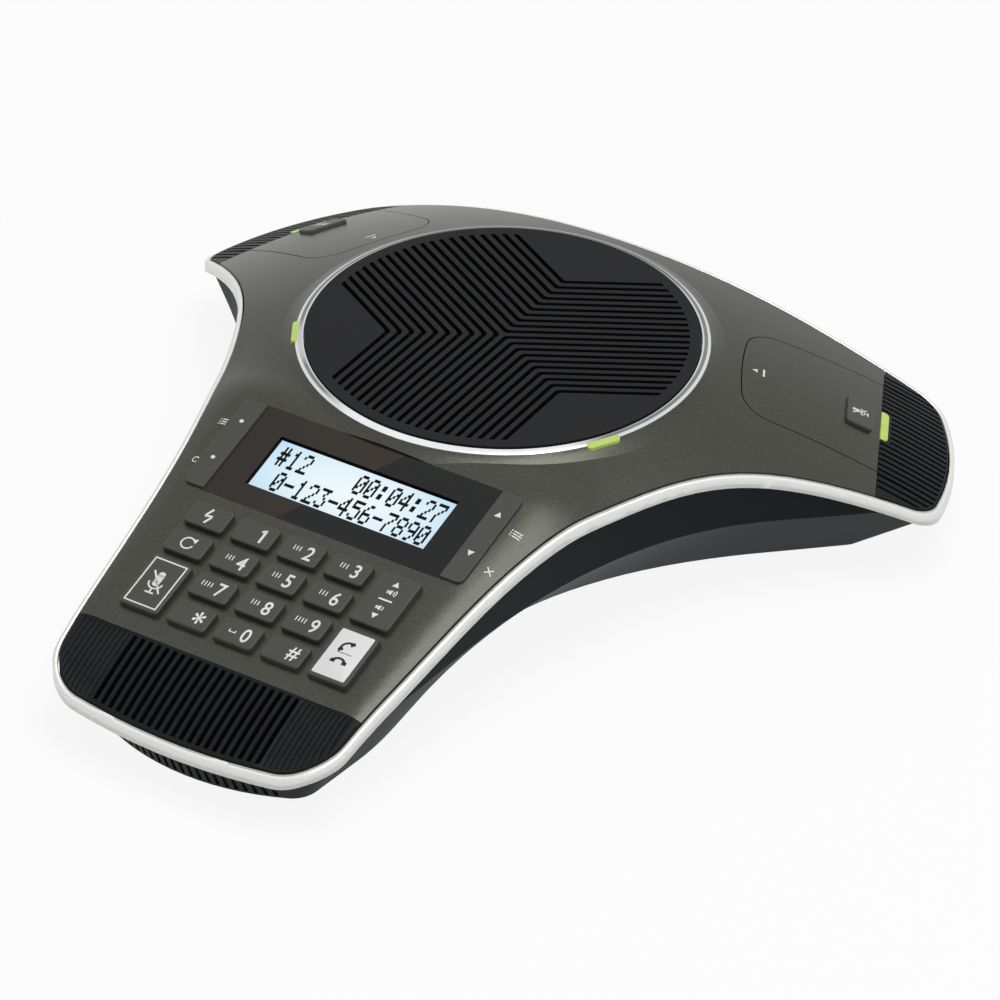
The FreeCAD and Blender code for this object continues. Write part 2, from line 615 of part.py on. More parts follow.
def panel_box(half, low, high, bottom, top):
    """A block of the panel's frame: |x| up to half, y from low to high, z from bottom to top."""
    return placed(Part.makeBox(2 * half, high - low, top - bottom, Vector(-half, low, bottom)), PANEL)


housing = housing_block.cut(cavity)
posts = []
for p, split, screw_seat in POSTS:
    posts.append(rod(size("post_radius") + size("post_wall"), size("floor_height"), split, p.x, p.y))
below_board = panel_box(3 * size("board_half"), -80, 80, -90, board_under)
for x, y in BOARD_POSTS:
    foot = PANEL.multVec(Vector(x, y, board_under))
    post = rod(size("board_post_radius"), size("floor_height"), HEAD_ROOM, foot.x, foot.y)
    posts.append(post.common(below_board))
mic_y = -(size("front_seam") + size("mic_reach"))
posts.append(rod(size("mic_radius") + size("mic_lip"), size("floor_height"), size("mic_seat_height"), 0, mic_y))
housing = housing.fuse(Part.makeCompound(posts).common(housing_block).Solids)
cuts = []
for p, split, screw_seat in POSTS:
    cuts.append(rod(size("screw_head") + size("screw_slack"), 0, screw_seat, p.x, p.y))
    cuts.append(rod(size("screw_radius"), 0, HEAD_ROOM, p.x, p.y))
FEET = [Vector(side * size("front_foot_x"), -size("front_foot_reach"), 0) for side in (-1, 1)]
FEET += [ARMS[side].multVec(Vector(size("arm_foot_reach"), 0, 0)) for side in ("right", "left")]
foot_top = size("floor_height") + size("foot_sink")
cuts += [rod(size("foot_radius"), 0, foot_top, p.x, p.y) for p in FEET]
jack_face = size("back_waist") + size("housing_proud") - size("jack_inset")
jack_back = jack_face - size("jack_depth")
line_body = Part.makeBox(size("line_width"), size("jack_depth"), size("line_tall"), Vector(
    -size("jack_spread") - size("line_width") / 2, jack_back, size("jack_height") - size("line_tall") / 2))
power_body = Part.makeBox(size("power_side"), size("jack_depth"), size("power_side"), Vector(
    size("jack_spread") - size("power_side") / 2, jack_back, size("jack_height") - size("power_side") / 2))
for body in (line_body, power_body):
    cuts.append(body.fuse(placed(body, Placement(Vector(0, 8, 0), Rotation()))).removeSplitter())
cuts += [placed(bay, turn) for turn in ARMS.values()]
belly_half = size("front_side_half") - size("ground_front_side") - size("ground_corner")
ribs_beside = int(belly_half / size("belly_rib_pitch"))
bars = []
for i in range(-ribs_beside, ribs_beside + 1):
    bars.append(Part.makeBox(size("belly_rib_width"), 28, HEAD_ROOM, Vector(
        i * size("belly_rib_pitch") - size("belly_rib_width") / 2, -size("front_reach") - 4,
        size("floor_height") + 1)))
cuts += Part.makeCompound(bars).cut(tub(size("belly_rib_depth"), size("floor_height"))).Solids
housing = housing.cut(cuts)
free_form("lower_housing", housing)

# Upper cover
slab = column(even_outline(0), -HEAD_ROOM, HEAD_ROOM).common(layer(0, size("rim_height")))
under_skin = column(even_outline(size("wall")), -HEAD_ROOM, HEAD_ROOM).common(layer(size("wall"), HEAD_ROOM))
room = under_skin.cut([placed(bay_skirt, turn) for turn in ARMS.values()])
cuts = [room, rod(size("seat_radius"), 0, HEAD_ROOM)]
for turn in ARMS.values():
    cuts += [placed(bay, turn), placed(past_seam(), turn)]
cover = slab.common(halfspace(size("front_seam"), False)).cut(cuts)
seat = size("seat_height") - size("ring_sink")
deck_under = seat - size("deck_thickness")
deck = rod(size("seat_radius") + 1, deck_under, seat)
deck = deck.cut(rod(size("driver_opening"), 0, HEAD_ROOM))
# a collar stands round the ring, with a hollow flank that runs out into the dome
flank = Part.BezierCurve()
flank.setPoles([Vector(size("seat_radius"), 0, size("collar_height")),
                Vector(size("collar_bend_reach"), 0, size("collar_bend_height")),
                Vector(size("collar_reach"), 0, size("collar_foot"))])
below = [Vector(size("collar_reach"), 0, size("collar_foot")),
         Vector(size("collar_reach"), 0, size("collar_foot") - size("collar_root")),
         Vector(size("seat_radius"), 0, deck_under), Vector(size("seat_radius"), 0, size("collar_height"))]
collar = Part.Face(Part.Wire([flank.toShape()] + Part.makePolygon(below).Edges))
collar = collar.revolve(Vector(), Vector(0, 0, 1), 360)
studs = []
for p, split, screw_seat in POSTS:
    stud = rod(size("post_radius"), split, HEAD_ROOM, p.x, p.y)
    if p.Length < size("seat_radius"):
        stud = rod(size("post_radius"), split, seat, p.x, p.y)
    else:
        stud = stud.common(layer(0.4, HEAD_ROOM))
    studs.append(stud)
cover = cover.fuse([deck, collar] + studs)
cuts = []
for p, split, screw_seat in POSTS:
    cuts.append(rod(size("screw_radius"), 0, split + size("screw_grip"), p.x, p.y))

# Keypad: name, column, first row, rows tall; the two tall keys of the last column differ
KEYS = [
    ("key_left_top", -2, 0, 1),
    ("key_left_second", -2, 1, 1),
    ("key_mute_all", -2, 2, 2),
    ("key_1", -1, 0, 1), ("key_2", 0, 0, 1), ("key_3", 1, 0, 1),
    ("key_4", -1, 1, 1), ("key_5", 0, 1, 1), ("key_6", 1, 1, 1),
    ("key_7", -1, 2, 1), ("key_8", 0, 2, 1), ("key_9", 1, 2, 1),
    ("key_star", -1, 3, 1), ("key_0", 0, 3, 1), ("key_hash", 1, 3, 1),
    ("volume_rocker", 2, 0, 2),
    ("key_talk", 2, 2, 2),
]


def cap_box(name, width, length, top, bottom, x, y, clear="0"):
    """A block of the keypad, sized by expressions; x and y place its middle in the panel's frame."""
    block = doc.addObject("Part::Box", name)
    block.setExpression("Length", f"{width} + 2 * ({clear})")
    block.setExpression("Width", f"{length} + 2 * ({clear})")
    block.setExpression("Height", f"({top}) - ({bottom})")
    block.setExpression("Placement.Base.x", f"({x}) - {width} / 2 - ({clear})")
    block.setExpression("Placement.Base.y", f"({y}) - ({length}) / 2 - ({clear})")
    block.setExpression("Placement.Base.z", bottom)
    return block


def cap_rod(name, radius, top, bottom, x, y):
    """An upright cylinder, sized by expressions; x and y place its axis."""
    item = doc.addObject("Part::Cylinder", name)
    item.setExpression("Radius", radius)
    item.setExpression("Height", f"({top}) - ({bottom})")
    item.setExpression("Placement.Base.x", x)
    item.setExpression("Placement.Base.y", y)
    item.setExpression("Placement.Base.z", bottom)
    return item


def lying_rod(name, radius, length, x, y, z, forward=False):
    """A cylinder that lies along Y, sized by expressions, from its end at x, y, z."""
    item = doc.addObject("Part::Cylinder", name)
    item.Placement = Placement(Vector(), Rotation(Vector(1, 0, 0), 90 if forward else -90))
    item.setExpression("Radius", radius)
    item.setExpression("Height", length)
    item.setExpression("Placement.Base.x", x)
    item.setExpression("Placement.Base.y", y)
    item.setExpression("Placement.Base.z", z)
    return item


def joined(name, shapes, kind="Part::MultiFuse"):
    """Bound shapes fused into one, or the second cut from the first."""
    item = doc.addObject(kind, name)
    if kind == "Part::Cut":
        item.Base, item.Tool = shapes
    else:
        item.Shapes = shapes
    doc.recompute()
    return item


def set_down(label, pieces, place=None):
    """Bound pieces grouped under one name and set at their real place."""
    item = doc.addObject("Part::Compound", label)
    item.Links = pieces
    doc.recompute()
    move_back(item, place)
    return keep(item, label)


def upright_edges(shape, wanted=None):
    """Numbers of the edges that run along Z, all of them or those whose middle passes a test."""
    found = []
    for number, edge in enumerate(shape.Edges, start=1):
        middle = edge.CenterOfMass
        if edge.BoundBox.ZLength > 0.9 * shape.BoundBox.ZLength and (wanted is None or wanted(middle)):
            found.append(number)
    return found


def top_edges(shape):
    top = shape.BoundBox.ZMax
    return [n for n, edge in enumerate(shape.Edges, start=1) if edge.BoundBox.ZMin > top - 0.01]


def rounded(base, name, radius, numbers, kind="Part::Fillet"):
    item = doc.addObject(kind, name)
    item.Base = base
    item.Edges = [(number, radius, radius) for number in numbers]
    doc.recompute()
    return item


def cap(name, width, length, rise, x, y, corner, wanted=None, gap="sizes.key_gap"):
    """A key: a rounded cap with a flange that holds it under the cover."""
    under = f"-(sizes.wall * cos(sizes.panel_tilt * 1deg) + {gap})"
    block = cap_box(name + "_block", width, length, rise, under, x, y)
    doc.recompute()
    body = rounded(block, name + "_corners", corner, upright_edges(block.Shape, wanted))
    body = rounded(body, name + "_edge", size("key_round"), top_edges(body.Shape), "Part::Chamfer")
    flange = cap_box(name + "_flange", width, length, under, f"{under} - sizes.key_flange", x, y,
                     "sizes.key_flange")
    whole = doc.addObject("Part::MultiFuse", name)
    whole.Shapes = [body, flange]
    doc.recompute()
    move_back(whole, PANEL)
    return keep(whole, name)


openings = []
for name, place, row, tall in KEYS:
    x = f"sizes.column_pitch * {place}"
    y = f"-(sizes.first_row + sizes.row_pitch * {row + (tall - 1) / 2})"
    length = f"(sizes.key_length + sizes.row_pitch * {tall - 1})"
    gap = "sizes.rocker_gap" if "rocker" in name else "sizes.key_gap"
    cap(name, "sizes.key_width", length, "sizes.key_rise", x, y, size("key_corner"), gap=gap)
    middle = -(size("first_row") + size("row_pitch") * (row + (tall - 1) / 2))
    openings.append((size("column_pitch") * place, middle, size("key_width"),
                     size("key_length") + size("row_pitch") * (tall - 1), size("key_corner")))
bar_x = "(sizes.window_half + sizes.bar_gap + sizes.bar_width / 2)"
bar_y = "(sizes.window_top + sizes.window_bottom) / 2"
for side, sign in (("left", -1), ("right", 1)):
    middle = sign * (size("window_half") + size("bar_gap") + size("bar_width") / 2)
    cap(f"rocker_bar_{side}", "sizes.bar_width", "sizes.bar_length", "sizes.bar_rise", f"{sign} * {bar_x}",
        bar_y, size("bar_corner"), lambda p, s=sign, m=middle: s * (p.x - m) > 0, gap="sizes.bar_drop")

hole_bottom, hole_top = -8, 8
for x, y, width, length, corner in openings:
    clear = size("key_clearance")
    hole = Part.makeBox(width + 2 * clear, length + 2 * clear, hole_top - hole_bottom,
                        Vector(x - width / 2 - clear, y - length / 2 - clear, hole_bottom))
    hole = hole.makeFillet(corner + clear, [hole.Edges[n - 1] for n in upright_edges(hole)])
    cuts.append(placed(hole, PANEL))
window_mid = (size("window_top") + size("window_bottom")) / 2
bar_side = size("window_half") + size("bar_gap") + size("bar_width")
for sign in (-1, 1):
    clear = size("key_clearance")
    near = size("window_half") + size("bar_gap") - clear
    low = window_mid - size("bar_length") / 2 - clear
    hole = Part.makeBox(bar_side + clear - near, size("bar_length") + 2 * clear, hole_top - hole_bottom,
                        Vector(near if sign > 0 else -bar_side - clear, low, hole_bottom))
    outer = [hole.Edges[n - 1] for n in upright_edges(hole, lambda p, s=sign: s * p.x > bar_side)]
    hole = hole.makeFillet(size("bar_corner") + clear, outer)
    cuts.append(placed(hole, PANEL))
cuts.append(panel_box(size("window_half"), size("window_bottom"), size("window_top"),
                      -size("window_thickness"), hole_top))
ledge = size("window_ledge")
cuts.append(panel_box(size("window_half") - ledge, size("window_bottom") + ledge,
                      size("window_top") - ledge, hole_bottom, hole_top))
lenses = []
for side, angle in (("right", -30), ("left", 210)):
    wedge = doc.addObject("Part::Wedge", f"ring_light_{side}_wedge")
    for bound, source in (("Xmin", "-sizes.led_length / 2"), ("Xmax", "sizes.led_length / 2"),
                          ("X2min", "-sizes.led_length / 2"), ("X2max", "sizes.led_length / 2"),
                          ("Ymin", "sizes.led_inner"), ("Ymax", "sizes.led_reach"),
                          ("Zmin", "sizes.led_floor"), ("Z2min", "sizes.led_floor"),
                          ("Zmax", "sizes.led_top"), ("Z2max", "sizes.led_edge")):
        wedge.setExpression(bound, source)
    doc.recompute()
    outer = [n for n, edge in enumerate(wedge.Shape.Edges, start=1)
             if edge.BoundBox.YMin > size("led_reach") - 0.01 and edge.BoundBox.XLength < 0.01]
    lens = rounded(wedge, f"ring_light_{side}", size("led_corner"), outer)
    lens.Placement = Placement(Vector(), Rotation(Vector(0, 0, 1), angle - 90))
    lenses.append(lens)
doc.recompute()
free_form("upper_cover", cover.cut(cuts + [lens.Shape for lens in lenses]))

window = panel_box(size("window_half"), size("window_bottom"), size("window_top"), -size("window_thickness"), 6)
free_form("display_window", window.common(layer(0, HEAD_ROOM)))
module = cap_box("display_module_block", "2 * (sizes.glass_half + sizes.module_margin)",
                 "(sizes.glass_length + 2 * sizes.module_margin)", "-sizes.window_thickness", BOARD_TOP,
                 "0", "sizes.glass_centre")
set_down("display_module", [module], PANEL)

# Rubber sheet and circuit board under the keys
rubber = cap_box("keypad_sheet_block", "(4 * sizes.column_pitch + sizes.key_width + 2 * sizes.sheet_margin)",
                 "(4 * sizes.row_pitch + sizes.sheet_extra)", SHEET_TOP, BOARD_TOP, "0",
                 "sizes.sheet_extra / 2 - sizes.first_row - 1.5 * sizes.row_pitch")
set_down("keypad_sheet", [rubber], PANEL)
board = cap_box("main_board_block", "2 * sizes.board_half", "(sizes.board_front + sizes.board_back)", BOARD_TOP,
                f"{BOARD_TOP} - sizes.board_thickness", "0", "(sizes.board_back - sizes.board_front) / 2")
set_down("main_board", [board], PANEL)

# Silver rim round the cover
ring_wide = column(even_outline(-size("rim_gap") - size("rim_width")), -HEAD_ROOM, HEAD_ROOM)
ring_wide = ring_wide.cut(column(even_outline(-size("rim_gap")), -HEAD_ROOM, HEAD_ROOM))
free_form("rim_trim", ring_wide.common(layer(size("rim_drop"), size("rim_height") - size("rim_drop"))))

# Grille of the keypad arm: open slots in the middle, shallow grooves beside them
front = slab.cut(under_skin).common(halfspace(size("front_seam") + SEAM_GAP, True))
far_edge = column(even_outline(size("front_slot_margin")), -HEAD_ROOM, HEAD_ROOM)
groove_edge = column(even_outline(size("groove_margin")), -HEAD_ROOM, HEAD_ROOM)
groove_solid = layer(-3, size("groove_depth") + 3)
slot_start = -size("front_seam") - size("front_slot_start")
groove_start = -size("front_seam") - size("groove_start")
slots = []
for i in range(int(size("front_slot_count"))):
    x = (i - (size("front_slot_count") - 1) / 2) * size("front_slot_pitch")
    slots.append(Part.makeBox(size("front_slot_width"), 40, 2 * HEAD_ROOM, Vector(
        x - size("front_slot_width") / 2, slot_start - 40, -HEAD_ROOM)).common(far_edge))
edge_x = size("front_slot_count") * size("front_slot_pitch") / 2
grooves = []
for i in range(int(size("groove_count"))):
    for sign in (-1, 1):
        x = sign * (edge_x + (i + 0.5) * size("groove_pitch"))
        grooves.append(Part.makeBox(size("groove_width"), 40, 2 * HEAD_ROOM, Vector(
            x - size("groove_width") / 2, groove_start - 40, -HEAD_ROOM)).common(groove_edge))
free_form("front_grille", front.cut(slots + Part.makeCompound(grooves).common(groove_solid).Solids))

# Round speaker grille: chevrons in three fields, each opening towards the rim
disc = rod(size("grille_radius"), size("grille_top") - size("grille_thickness"), size("grille_top"))
half = size("slot_width") / 2
slots = []
for k in range(int(size("slot_count"))):
    apex = size("slot_apex") - k * size("slot_pitch") / math.sin(math.radians(60))
    out, reach = half / math.sin(math.radians(60)), 2 * size("grille_radius")
    inner = Vector(apex - out, 0, 0)
    outer = Vector(apex + out, 0, 0)
    legs = [heading(angle) * reach for angle in (60, -60)]
    corners = [outer, outer + legs[0], inner + legs[0], inner, inner + legs[1], outer + legs[1], outer]
    face = Part.Face(Part.makePolygon(corners))
    slots.append(face.extrude(Vector(0, 0, HEAD_ROOM)).common(rod(size("slot_field_radius"), 0, HEAD_ROOM)))
fields = []
for angle in (-30, 90, 210):
    for slot in slots:
        fields.append(placed(slot, Placement(Vector(), Rotation(Vector(0, 0, 1), angle))))
free_form("speaker_grille", disc.cut(Part.makeCompound(fields)))


def turned_body(label, corners):
    """A body turned round the speaker axis, from expressions for its section's (radius, height)."""
    body = doc.addObject("PartDesign::Body", label)
    sketch = body.newObject("Sketcher::SketchObject", label + "_section")
    upright = [item for item in body.Origin.OriginFeatures if item.Role == "XZ_Plane"]
    sketch.AttachmentSupport = [(upright[0], "")]
    sketch.MapMode = "FlatFace"
    values = [[float(sheet.evalExpression(part)) for part in corner] for corner in corners]
    count = len(corners)
    for i in range(count):
        ends = [Vector(values[j % count][0], values[j % count][1], 0) for j in (i, i + 1)]
        sketch.addGeometry(Part.LineSegment(*ends))
    for i in range(count):
        sketch.addConstraint(Sketcher.Constraint("Coincident", i, 2, (i + 1) % count, 1))
    for i, (radius, height) in enumerate(corners):
        if values[i][0] == 0:
            sketch.addConstraint(Sketcher.Constraint("PointOnObject", i, 1, -2))
        else:
            number = sketch.addConstraint(Sketcher.Constraint("DistanceX", -1, 1, i, 1, values[i][0]))
            sketch.setExpression(f"Constraints[{number}]", radius)
        number = sketch.addConstraint(Sketcher.Constraint("DistanceY", -1, 1, i, 1, values[i][1]))
        sketch.setExpression(f"Constraints[{number}]", height)
    turn = body.newObject("PartDesign::Revolution", label + "_turn")
    turn.Profile = sketch
    turn.ReferenceAxis = (sketch, ["V_Axis"])
    turn.Angle = 360
    doc.recompute()
    return body


SEAT = "sizes.seat_height - sizes.ring_sink"
RING_INNER = "sizes.grille_radius + sizes.ring_clearance"
LEDGE_INNER = "sizes.grille_radius - sizes.ring_ledge"
LEDGE_TOP = "sizes.grille_top - sizes.grille_thickness"
ring = turned_body("chrome_ring_turned", [
    (LEDGE_INNER, SEAT), ("sizes.seat_radius", SEAT), ("sizes.seat_radius", "sizes.ring_edge"),
    (f"{RING_INNER} + sizes.ring_face", "sizes.ring_crest"), (RING_INNER, "sizes.ring_crest"),
    (RING_INNER, LEDGE_TOP), (LEDGE_INNER, LEDGE_TOP)])
pair = doc.addObject("Part::Compound", "ring_light_pair")
pair.Links = lenses
doc.recompute()
set_down("chrome_ring", [joined("chrome_ring_cut", [ring, pair], "Part::Cut")])
set_down("ring_lights", lenses)

# Loudspeaker under the deck
DECK_UNDER = f"{SEAT} - sizes.deck_thickness"
FRAME_UNDER = f"{DECK_UNDER} - sizes.sheet_metal"
MAGNET_TOP = f"{DECK_UNDER} - sizes.driver_depth + sizes.magnet_height"
MAGNET_UNDER = f"{DECK_UNDER} - sizes.driver_depth"
frame = turned_body("speaker_frame", [
    ("sizes.driver_opening", FRAME_UNDER), ("sizes.driver_opening", DECK_UNDER),
    ("sizes.driver_radius", DECK_UNDER), ("sizes.driver_radius", FRAME_UNDER),
    ("sizes.driver_opening + 2 * sizes.sheet_metal", FRAME_UNDER),
    ("sizes.magnet_radius - 3 * sizes.sheet_metal", f"{MAGNET_TOP} - sizes.sheet_metal"),
    ("sizes.magnet_radius", f"{MAGNET_TOP} - sizes.sheet_metal"), ("sizes.magnet_radius", MAGNET_UNDER),
    ("0", MAGNET_UNDER), ("0", MAGNET_TOP), ("sizes.magnet_radius - 4 * sizes.sheet_metal", MAGNET_TOP)])
move_back(frame)
keep(frame, "speaker_frame")
CONE_LOW = f"{DECK_UNDER} - sizes.cone_depth"
SURROUND = "(sizes.driver_opening - sizes.surround_width)"
cone = turned_body("speaker_cone", [
    ("sizes.driver_opening", DECK_UNDER), ("sizes.driver_opening", f"{DECK_UNDER} - sizes.paper"),
    (SURROUND, f"{DECK_UNDER} - 1.5 * sizes.paper"), ("sizes.cap_radius", CONE_LOW),
    ("0.55 * sizes.cap_radius", f"{CONE_LOW} + sizes.cap_rise - sizes.paper"),
    ("0", f"{CONE_LOW} + 1.3 * sizes.cap_rise - sizes.paper"), ("0", f"{CONE_LOW} + 1.3 * sizes.cap_rise"),
    ("0.55 * sizes.cap_radius", f"{CONE_LOW} + sizes.cap_rise"),
    ("sizes.cap_radius - 0.6 * sizes.paper", f"{CONE_LOW} + 1.5 * sizes.paper"),
    (SURROUND, f"{DECK_UNDER} - 0.5 * sizes.paper"),
    (f"{SURROUND} / 2 + sizes.driver_opening / 2", f"{DECK_UNDER} + 1.2 * sizes.paper")])
move_back(cone)
keep(cone, "speaker_cone")

# Sockets in the back wall
JACK_FACE = "(sizes.back_waist + sizes.housing_proud - sizes.jack_inset)"
JACK_MIDDLE = f"{JACK_FACE} - sizes.jack_depth / 2"
line_shell = cap_box("line_socket_body", "sizes.line_width", "sizes.jack_depth",
                     "sizes.jack_height + sizes.line_tall / 2", "sizes.jack_height - sizes.line_tall / 2",
                     "-sizes.jack_spread", JACK_MIDDLE)
mouth = cap_box("line_socket_mouth", "sizes.line_mouth_width", "sizes.line_mouth_depth",
                "sizes.jack_height + sizes.line_mouth_tall / 2", "sizes.jack_height - sizes.line_mouth_tall / 2",
                "-sizes.jack_spread", f"{JACK_FACE} - sizes.line_mouth_depth / 2")
set_down("line_socket", [joined("line_socket_cut", [line_shell, mouth], "Part::Cut")])
power_shell = cap_box("power_socket_body", "sizes.power_side", "sizes.jack_depth",
                      "sizes.jack_height + sizes.power_side / 2", "sizes.jack_height - sizes.power_side / 2",
                      "sizes.jack_spread", JACK_MIDDLE)
bore = lying_rod("power_socket_bore", "sizes.power_bore", "sizes.power_bore_depth", "sizes.jack_spread",
                 JACK_FACE, "sizes.jack_height", forward=True)
pin = lying_rod("power_socket_pin", "sizes.power_pin", "sizes.power_bore_depth - sizes.power_pin_sink",
                "sizes.jack_spread", f"{JACK_FACE} - sizes.power_bore_depth", "sizes.jack_height")
bored = joined("power_socket_cut", [power_shell, bore], "Part::Cut")
set_down("power_socket", [joined("power_socket_whole", [bored, pin])])

# Small parts of the console
capsule = cap_rod("front_microphone_can", "sizes.mic_radius", "sizes.mic_seat_height + sizes.mic_height",
                  "sizes.mic_seat_height", "0", "-(sizes.front_seam + sizes.mic_reach)")
set_down("front_microphone", [capsule])
ballast = cap_box("ballast_plate_block", "sizes.ballast_width", "sizes.ballast_length",
                  "sizes.floor_height + sizes.floor_wall + sizes.ballast_thickness",
                  "sizes.floor_height + sizes.floor_wall", "0", "0")
set_down("ballast_plate", [ballast])
feet = []
for side, sign in (("left", "-"), ("right", "")):
    for part, x, y in (("front", "sizes.front_foot_x", "-sizes.front_foot_reach"),
                       ("arm", "sizes.arm_foot_reach * cos(sizes.arm_angle * 1deg)",
                        "sizes.arm_foot_reach * sin(sizes.arm_angle * 1deg)")):
        feet.append(cap_rod(f"foot_{part}_{side}", "sizes.foot_radius", "sizes.floor_height + sizes.foot_sink",
                            "0", f"{sign}{x}", y))
set_down("feet", feet)
screws = []
for number, angle in enumerate((-30, 90, 210)):
    screws.append((number, f"sizes.post_ring * cos({angle} * 1deg)", f"sizes.post_ring * sin({angle} * 1deg)",
                   "sizes.ring_seat", "sizes.ring_split"))
screws.append((len(screws), "0", "-sizes.front_post", "sizes.front_seat", "sizes.front_split"))
whole = []
for number, x, y, under, split in screws:
    head = cap_rod(f"screw_{number}_head", "sizes.screw_head", under, f"{under} - sizes.head_height", x, y)
    shank = cap_rod(f"screw_{number}_shank", "sizes.screw_radius",
                    f"{split} + sizes.screw_grip - sizes.screw_short", f"{under} - sizes.head_height / 2", x, y)
    whole.append(joined(f"screw_{number}", [head, shank]))
set_down("housing_screws", whole)

# Arm by arm: end grille of the console, bay tray, charging pins and the microphone unit
arm_slab = dome_layer(0, size("rim_height")).common(column(arm_plan(0), 0, HEAD_ROOM))
rib_half = (size("arm_rib_count") - 1) / 2
rib_cuts = []
for i in range(int(size("arm_rib_count"))):
    middle = (i - rib_half) * size("arm_rib_pitch")
    beside_lamp = abs(middle) < size("lamp_width") / 2 + size("arm_rib_gap")
    start = size("lamp_length") + size("lamp_margin") if beside_lamp else size("arm_rib_start")
    rib_cuts.append(Part.makeBox(60, size("arm_rib_gap"), 2 * HEAD_ROOM, Vector(
        size("arm_seam") + start, middle - size("arm_rib_gap") / 2, -HEAD_ROOM)))
rib_cuts = Part.makeCompound(rib_cuts).common(dome_layer(-2, 2 + size("arm_rib_depth")))
rib_cuts = rib_cuts.common(column(arm_plan(size("arm_rib_margin")), 0, HEAD_ROOM))
strip = arm_slab.common(past_seam(SEAM_GAP)).cut(bay).cut(rib_cuts)
tray = bay_outside.common(over_bay(-size("bay_wall"))).cut(bay)
tray = tray.cut(dome_layer(size("rim_height") - HEAD_ROOM, HEAD_ROOM))

key_spot = dome_height(size("mute_reach"))
key_lean = math.degrees(math.atan(size("dome_slope") + 2 * size("dome_curve") * (
    size("mute_reach") - size("seat_radius"))))
KEY_PLACE = Placement(Vector(size("mute_reach"), 0, key_spot), Rotation(Vector(0, 1, 0), key_lean))
clear = size("key_clearance")


def local_box(long, wide, bottom, top, grow=0):
    """A block round the origin, its length along X."""
    return Part.makeBox(long + 2 * grow, wide + 2 * grow, top - bottom,
                        Vector(-long / 2 - grow, -wide / 2 - grow, bottom))


key_hole = local_box(size("mute_length"), size("mute_width"), -8, 8, clear)
hole_edges = [key_hole.Edges[n - 1] for n in upright_edges(key_hole)]
key_hole = key_hole.makeFillet(size("key_corner") + clear, hole_edges)
lamp_slope = math.degrees(math.atan(size("dome_slope") + 2 * size("dome_curve") * (
    size("arm_seam") + size("lamp_length") / 2 - size("seat_radius"))))
LAMP_PLACE = Placement(Vector(size("arm_seam"), 0, dome_height(size("arm_seam"))),
                       Rotation(Vector(0, 1, 0), lamp_slope))
lamp = Part.makeBox(size("lamp_length"), size("lamp_width"), size("lamp_depth") + size("lamp_rise"), Vector(
    SEAM_GAP, -size("lamp_width") / 2, -size("lamp_depth")))
lamp_edges = [lamp.Edges[n - 1] for n in upright_edges(lamp, lambda p: p.x > 1)]
lamp = lamp.makeFillet(size("lamp_corner"), lamp_edges)
lamp = placed(lamp, LAMP_PLACE)
unit_top = unit_shell.cut([past_seam(), placed(key_hole, KEY_PLACE), lamp])
unit_end = unit_shell.common(past_seam(SEAM_GAP)).cut(lamp).cut(rib_cuts)
unit_case = unit_space.cut(dome_layer(size("unit_skirt") - HEAD_ROOM, HEAD_ROOM))
unit_case = unit_case.cut(unit_inner.common(over_bay(size("unit_clearance") + size("unit_wall"))))
fall = math.degrees(math.atan((size("bay_inner_height") - size("bay_outer_height")) / (
    size("arm_reach") - size("unit_start"))))


def bay_place(a, rise):
    """A frame on the bay's floor, a along the arm, raised by rise."""
    floor = size("bay_inner_height") - (a - size("unit_start")) * math.tan(math.radians(fall))
    return Placement(Vector(a, 0, floor + rise), Rotation(Vector(0, 1, 0), fall))


FALL = "atan((sizes.bay_inner_height - sizes.bay_outer_height) / (sizes.arm_reach - sizes.unit_start))"
CONTACT_LOW = f"(sizes.unit_clearance * cos({FALL}) + sizes.contact_sink)"
CONTACT_HIGH = f"(sizes.unit_clearance + sizes.unit_wall) * cos({FALL})"
contact_place = bay_place(size("contact_reach"), 0)
cell_place = bay_place(size("unit_start") + size("unit_wall") + 2 * size("cell_radius") + size("cell_gap"),
                       size("unit_clearance") + size("unit_wall"))
PLATE_TOP = "-(sizes.unit_wall + sizes.key_gap + sizes.key_flange + sizes.key_travel + sizes.dome_gap)"
bound_pieces = {}
for side, turn in ARMS.items():
    contacts = []
    pins = []
    for end, sign in (("a", "-"), ("b", "")):
        y = f"{sign}sizes.contact_spread / 2"
        contacts.append(cap_box(f"contact_{side}_{end}", "sizes.contact_width", "sizes.contact_width",
                                CONTACT_HIGH, CONTACT_LOW, "0", y))
        pins.append(cap_rod(f"pin_{side}_{end}", "sizes.pin_radius", f"{CONTACT_LOW} - sizes.contact_gap",
                            f"-sizes.bay_wall * cos({FALL})", "0", y))
    cells = [lying_rod(f"cell_{side}_{end}", "sizes.cell_radius", "sizes.cell_length", x,
                       "-sizes.cell_length / 2", "sizes.cell_radius")
             for end, x in (("a", "-sizes.cell_radius"), ("b", "sizes.cell_radius"))]
    wrap = cap_box(f"cell_wrap_{side}", "2 * sizes.cell_radius", "sizes.cell_length", "sizes.cell_radius",
                   "0", "0", "0")
    plate = cap_box(f"plate_{side}", "sizes.unit_board_length", "2 * sizes.unit_board_half", PLATE_TOP,
                    f"{PLATE_TOP} - sizes.board_thickness",
                    "(sizes.mute_length - sizes.unit_board_length) / 2", "0")
    doc.recompute()
    bound_pieces[side] = (contacts, pins, joined(f"cell_pair_{side}", cells + [wrap]), plate)
contacts, pins, pack, plate = bound_pieces["right"]
contact_high = contacts[0].Shape.BoundBox.ZMax
holes = []
for sign in (-1, 1):
    spot = contact_place * Placement(Vector(0, sign * size("contact_spread") / 2, 0), Rotation())
    holes.append(placed(local_box(size("contact_width"), size("contact_width"), -1, contact_high), spot))
unit_case = unit_case.cut(holes)
tray = tray.cut([placed(pin.Shape, contact_place) for pin in pins])
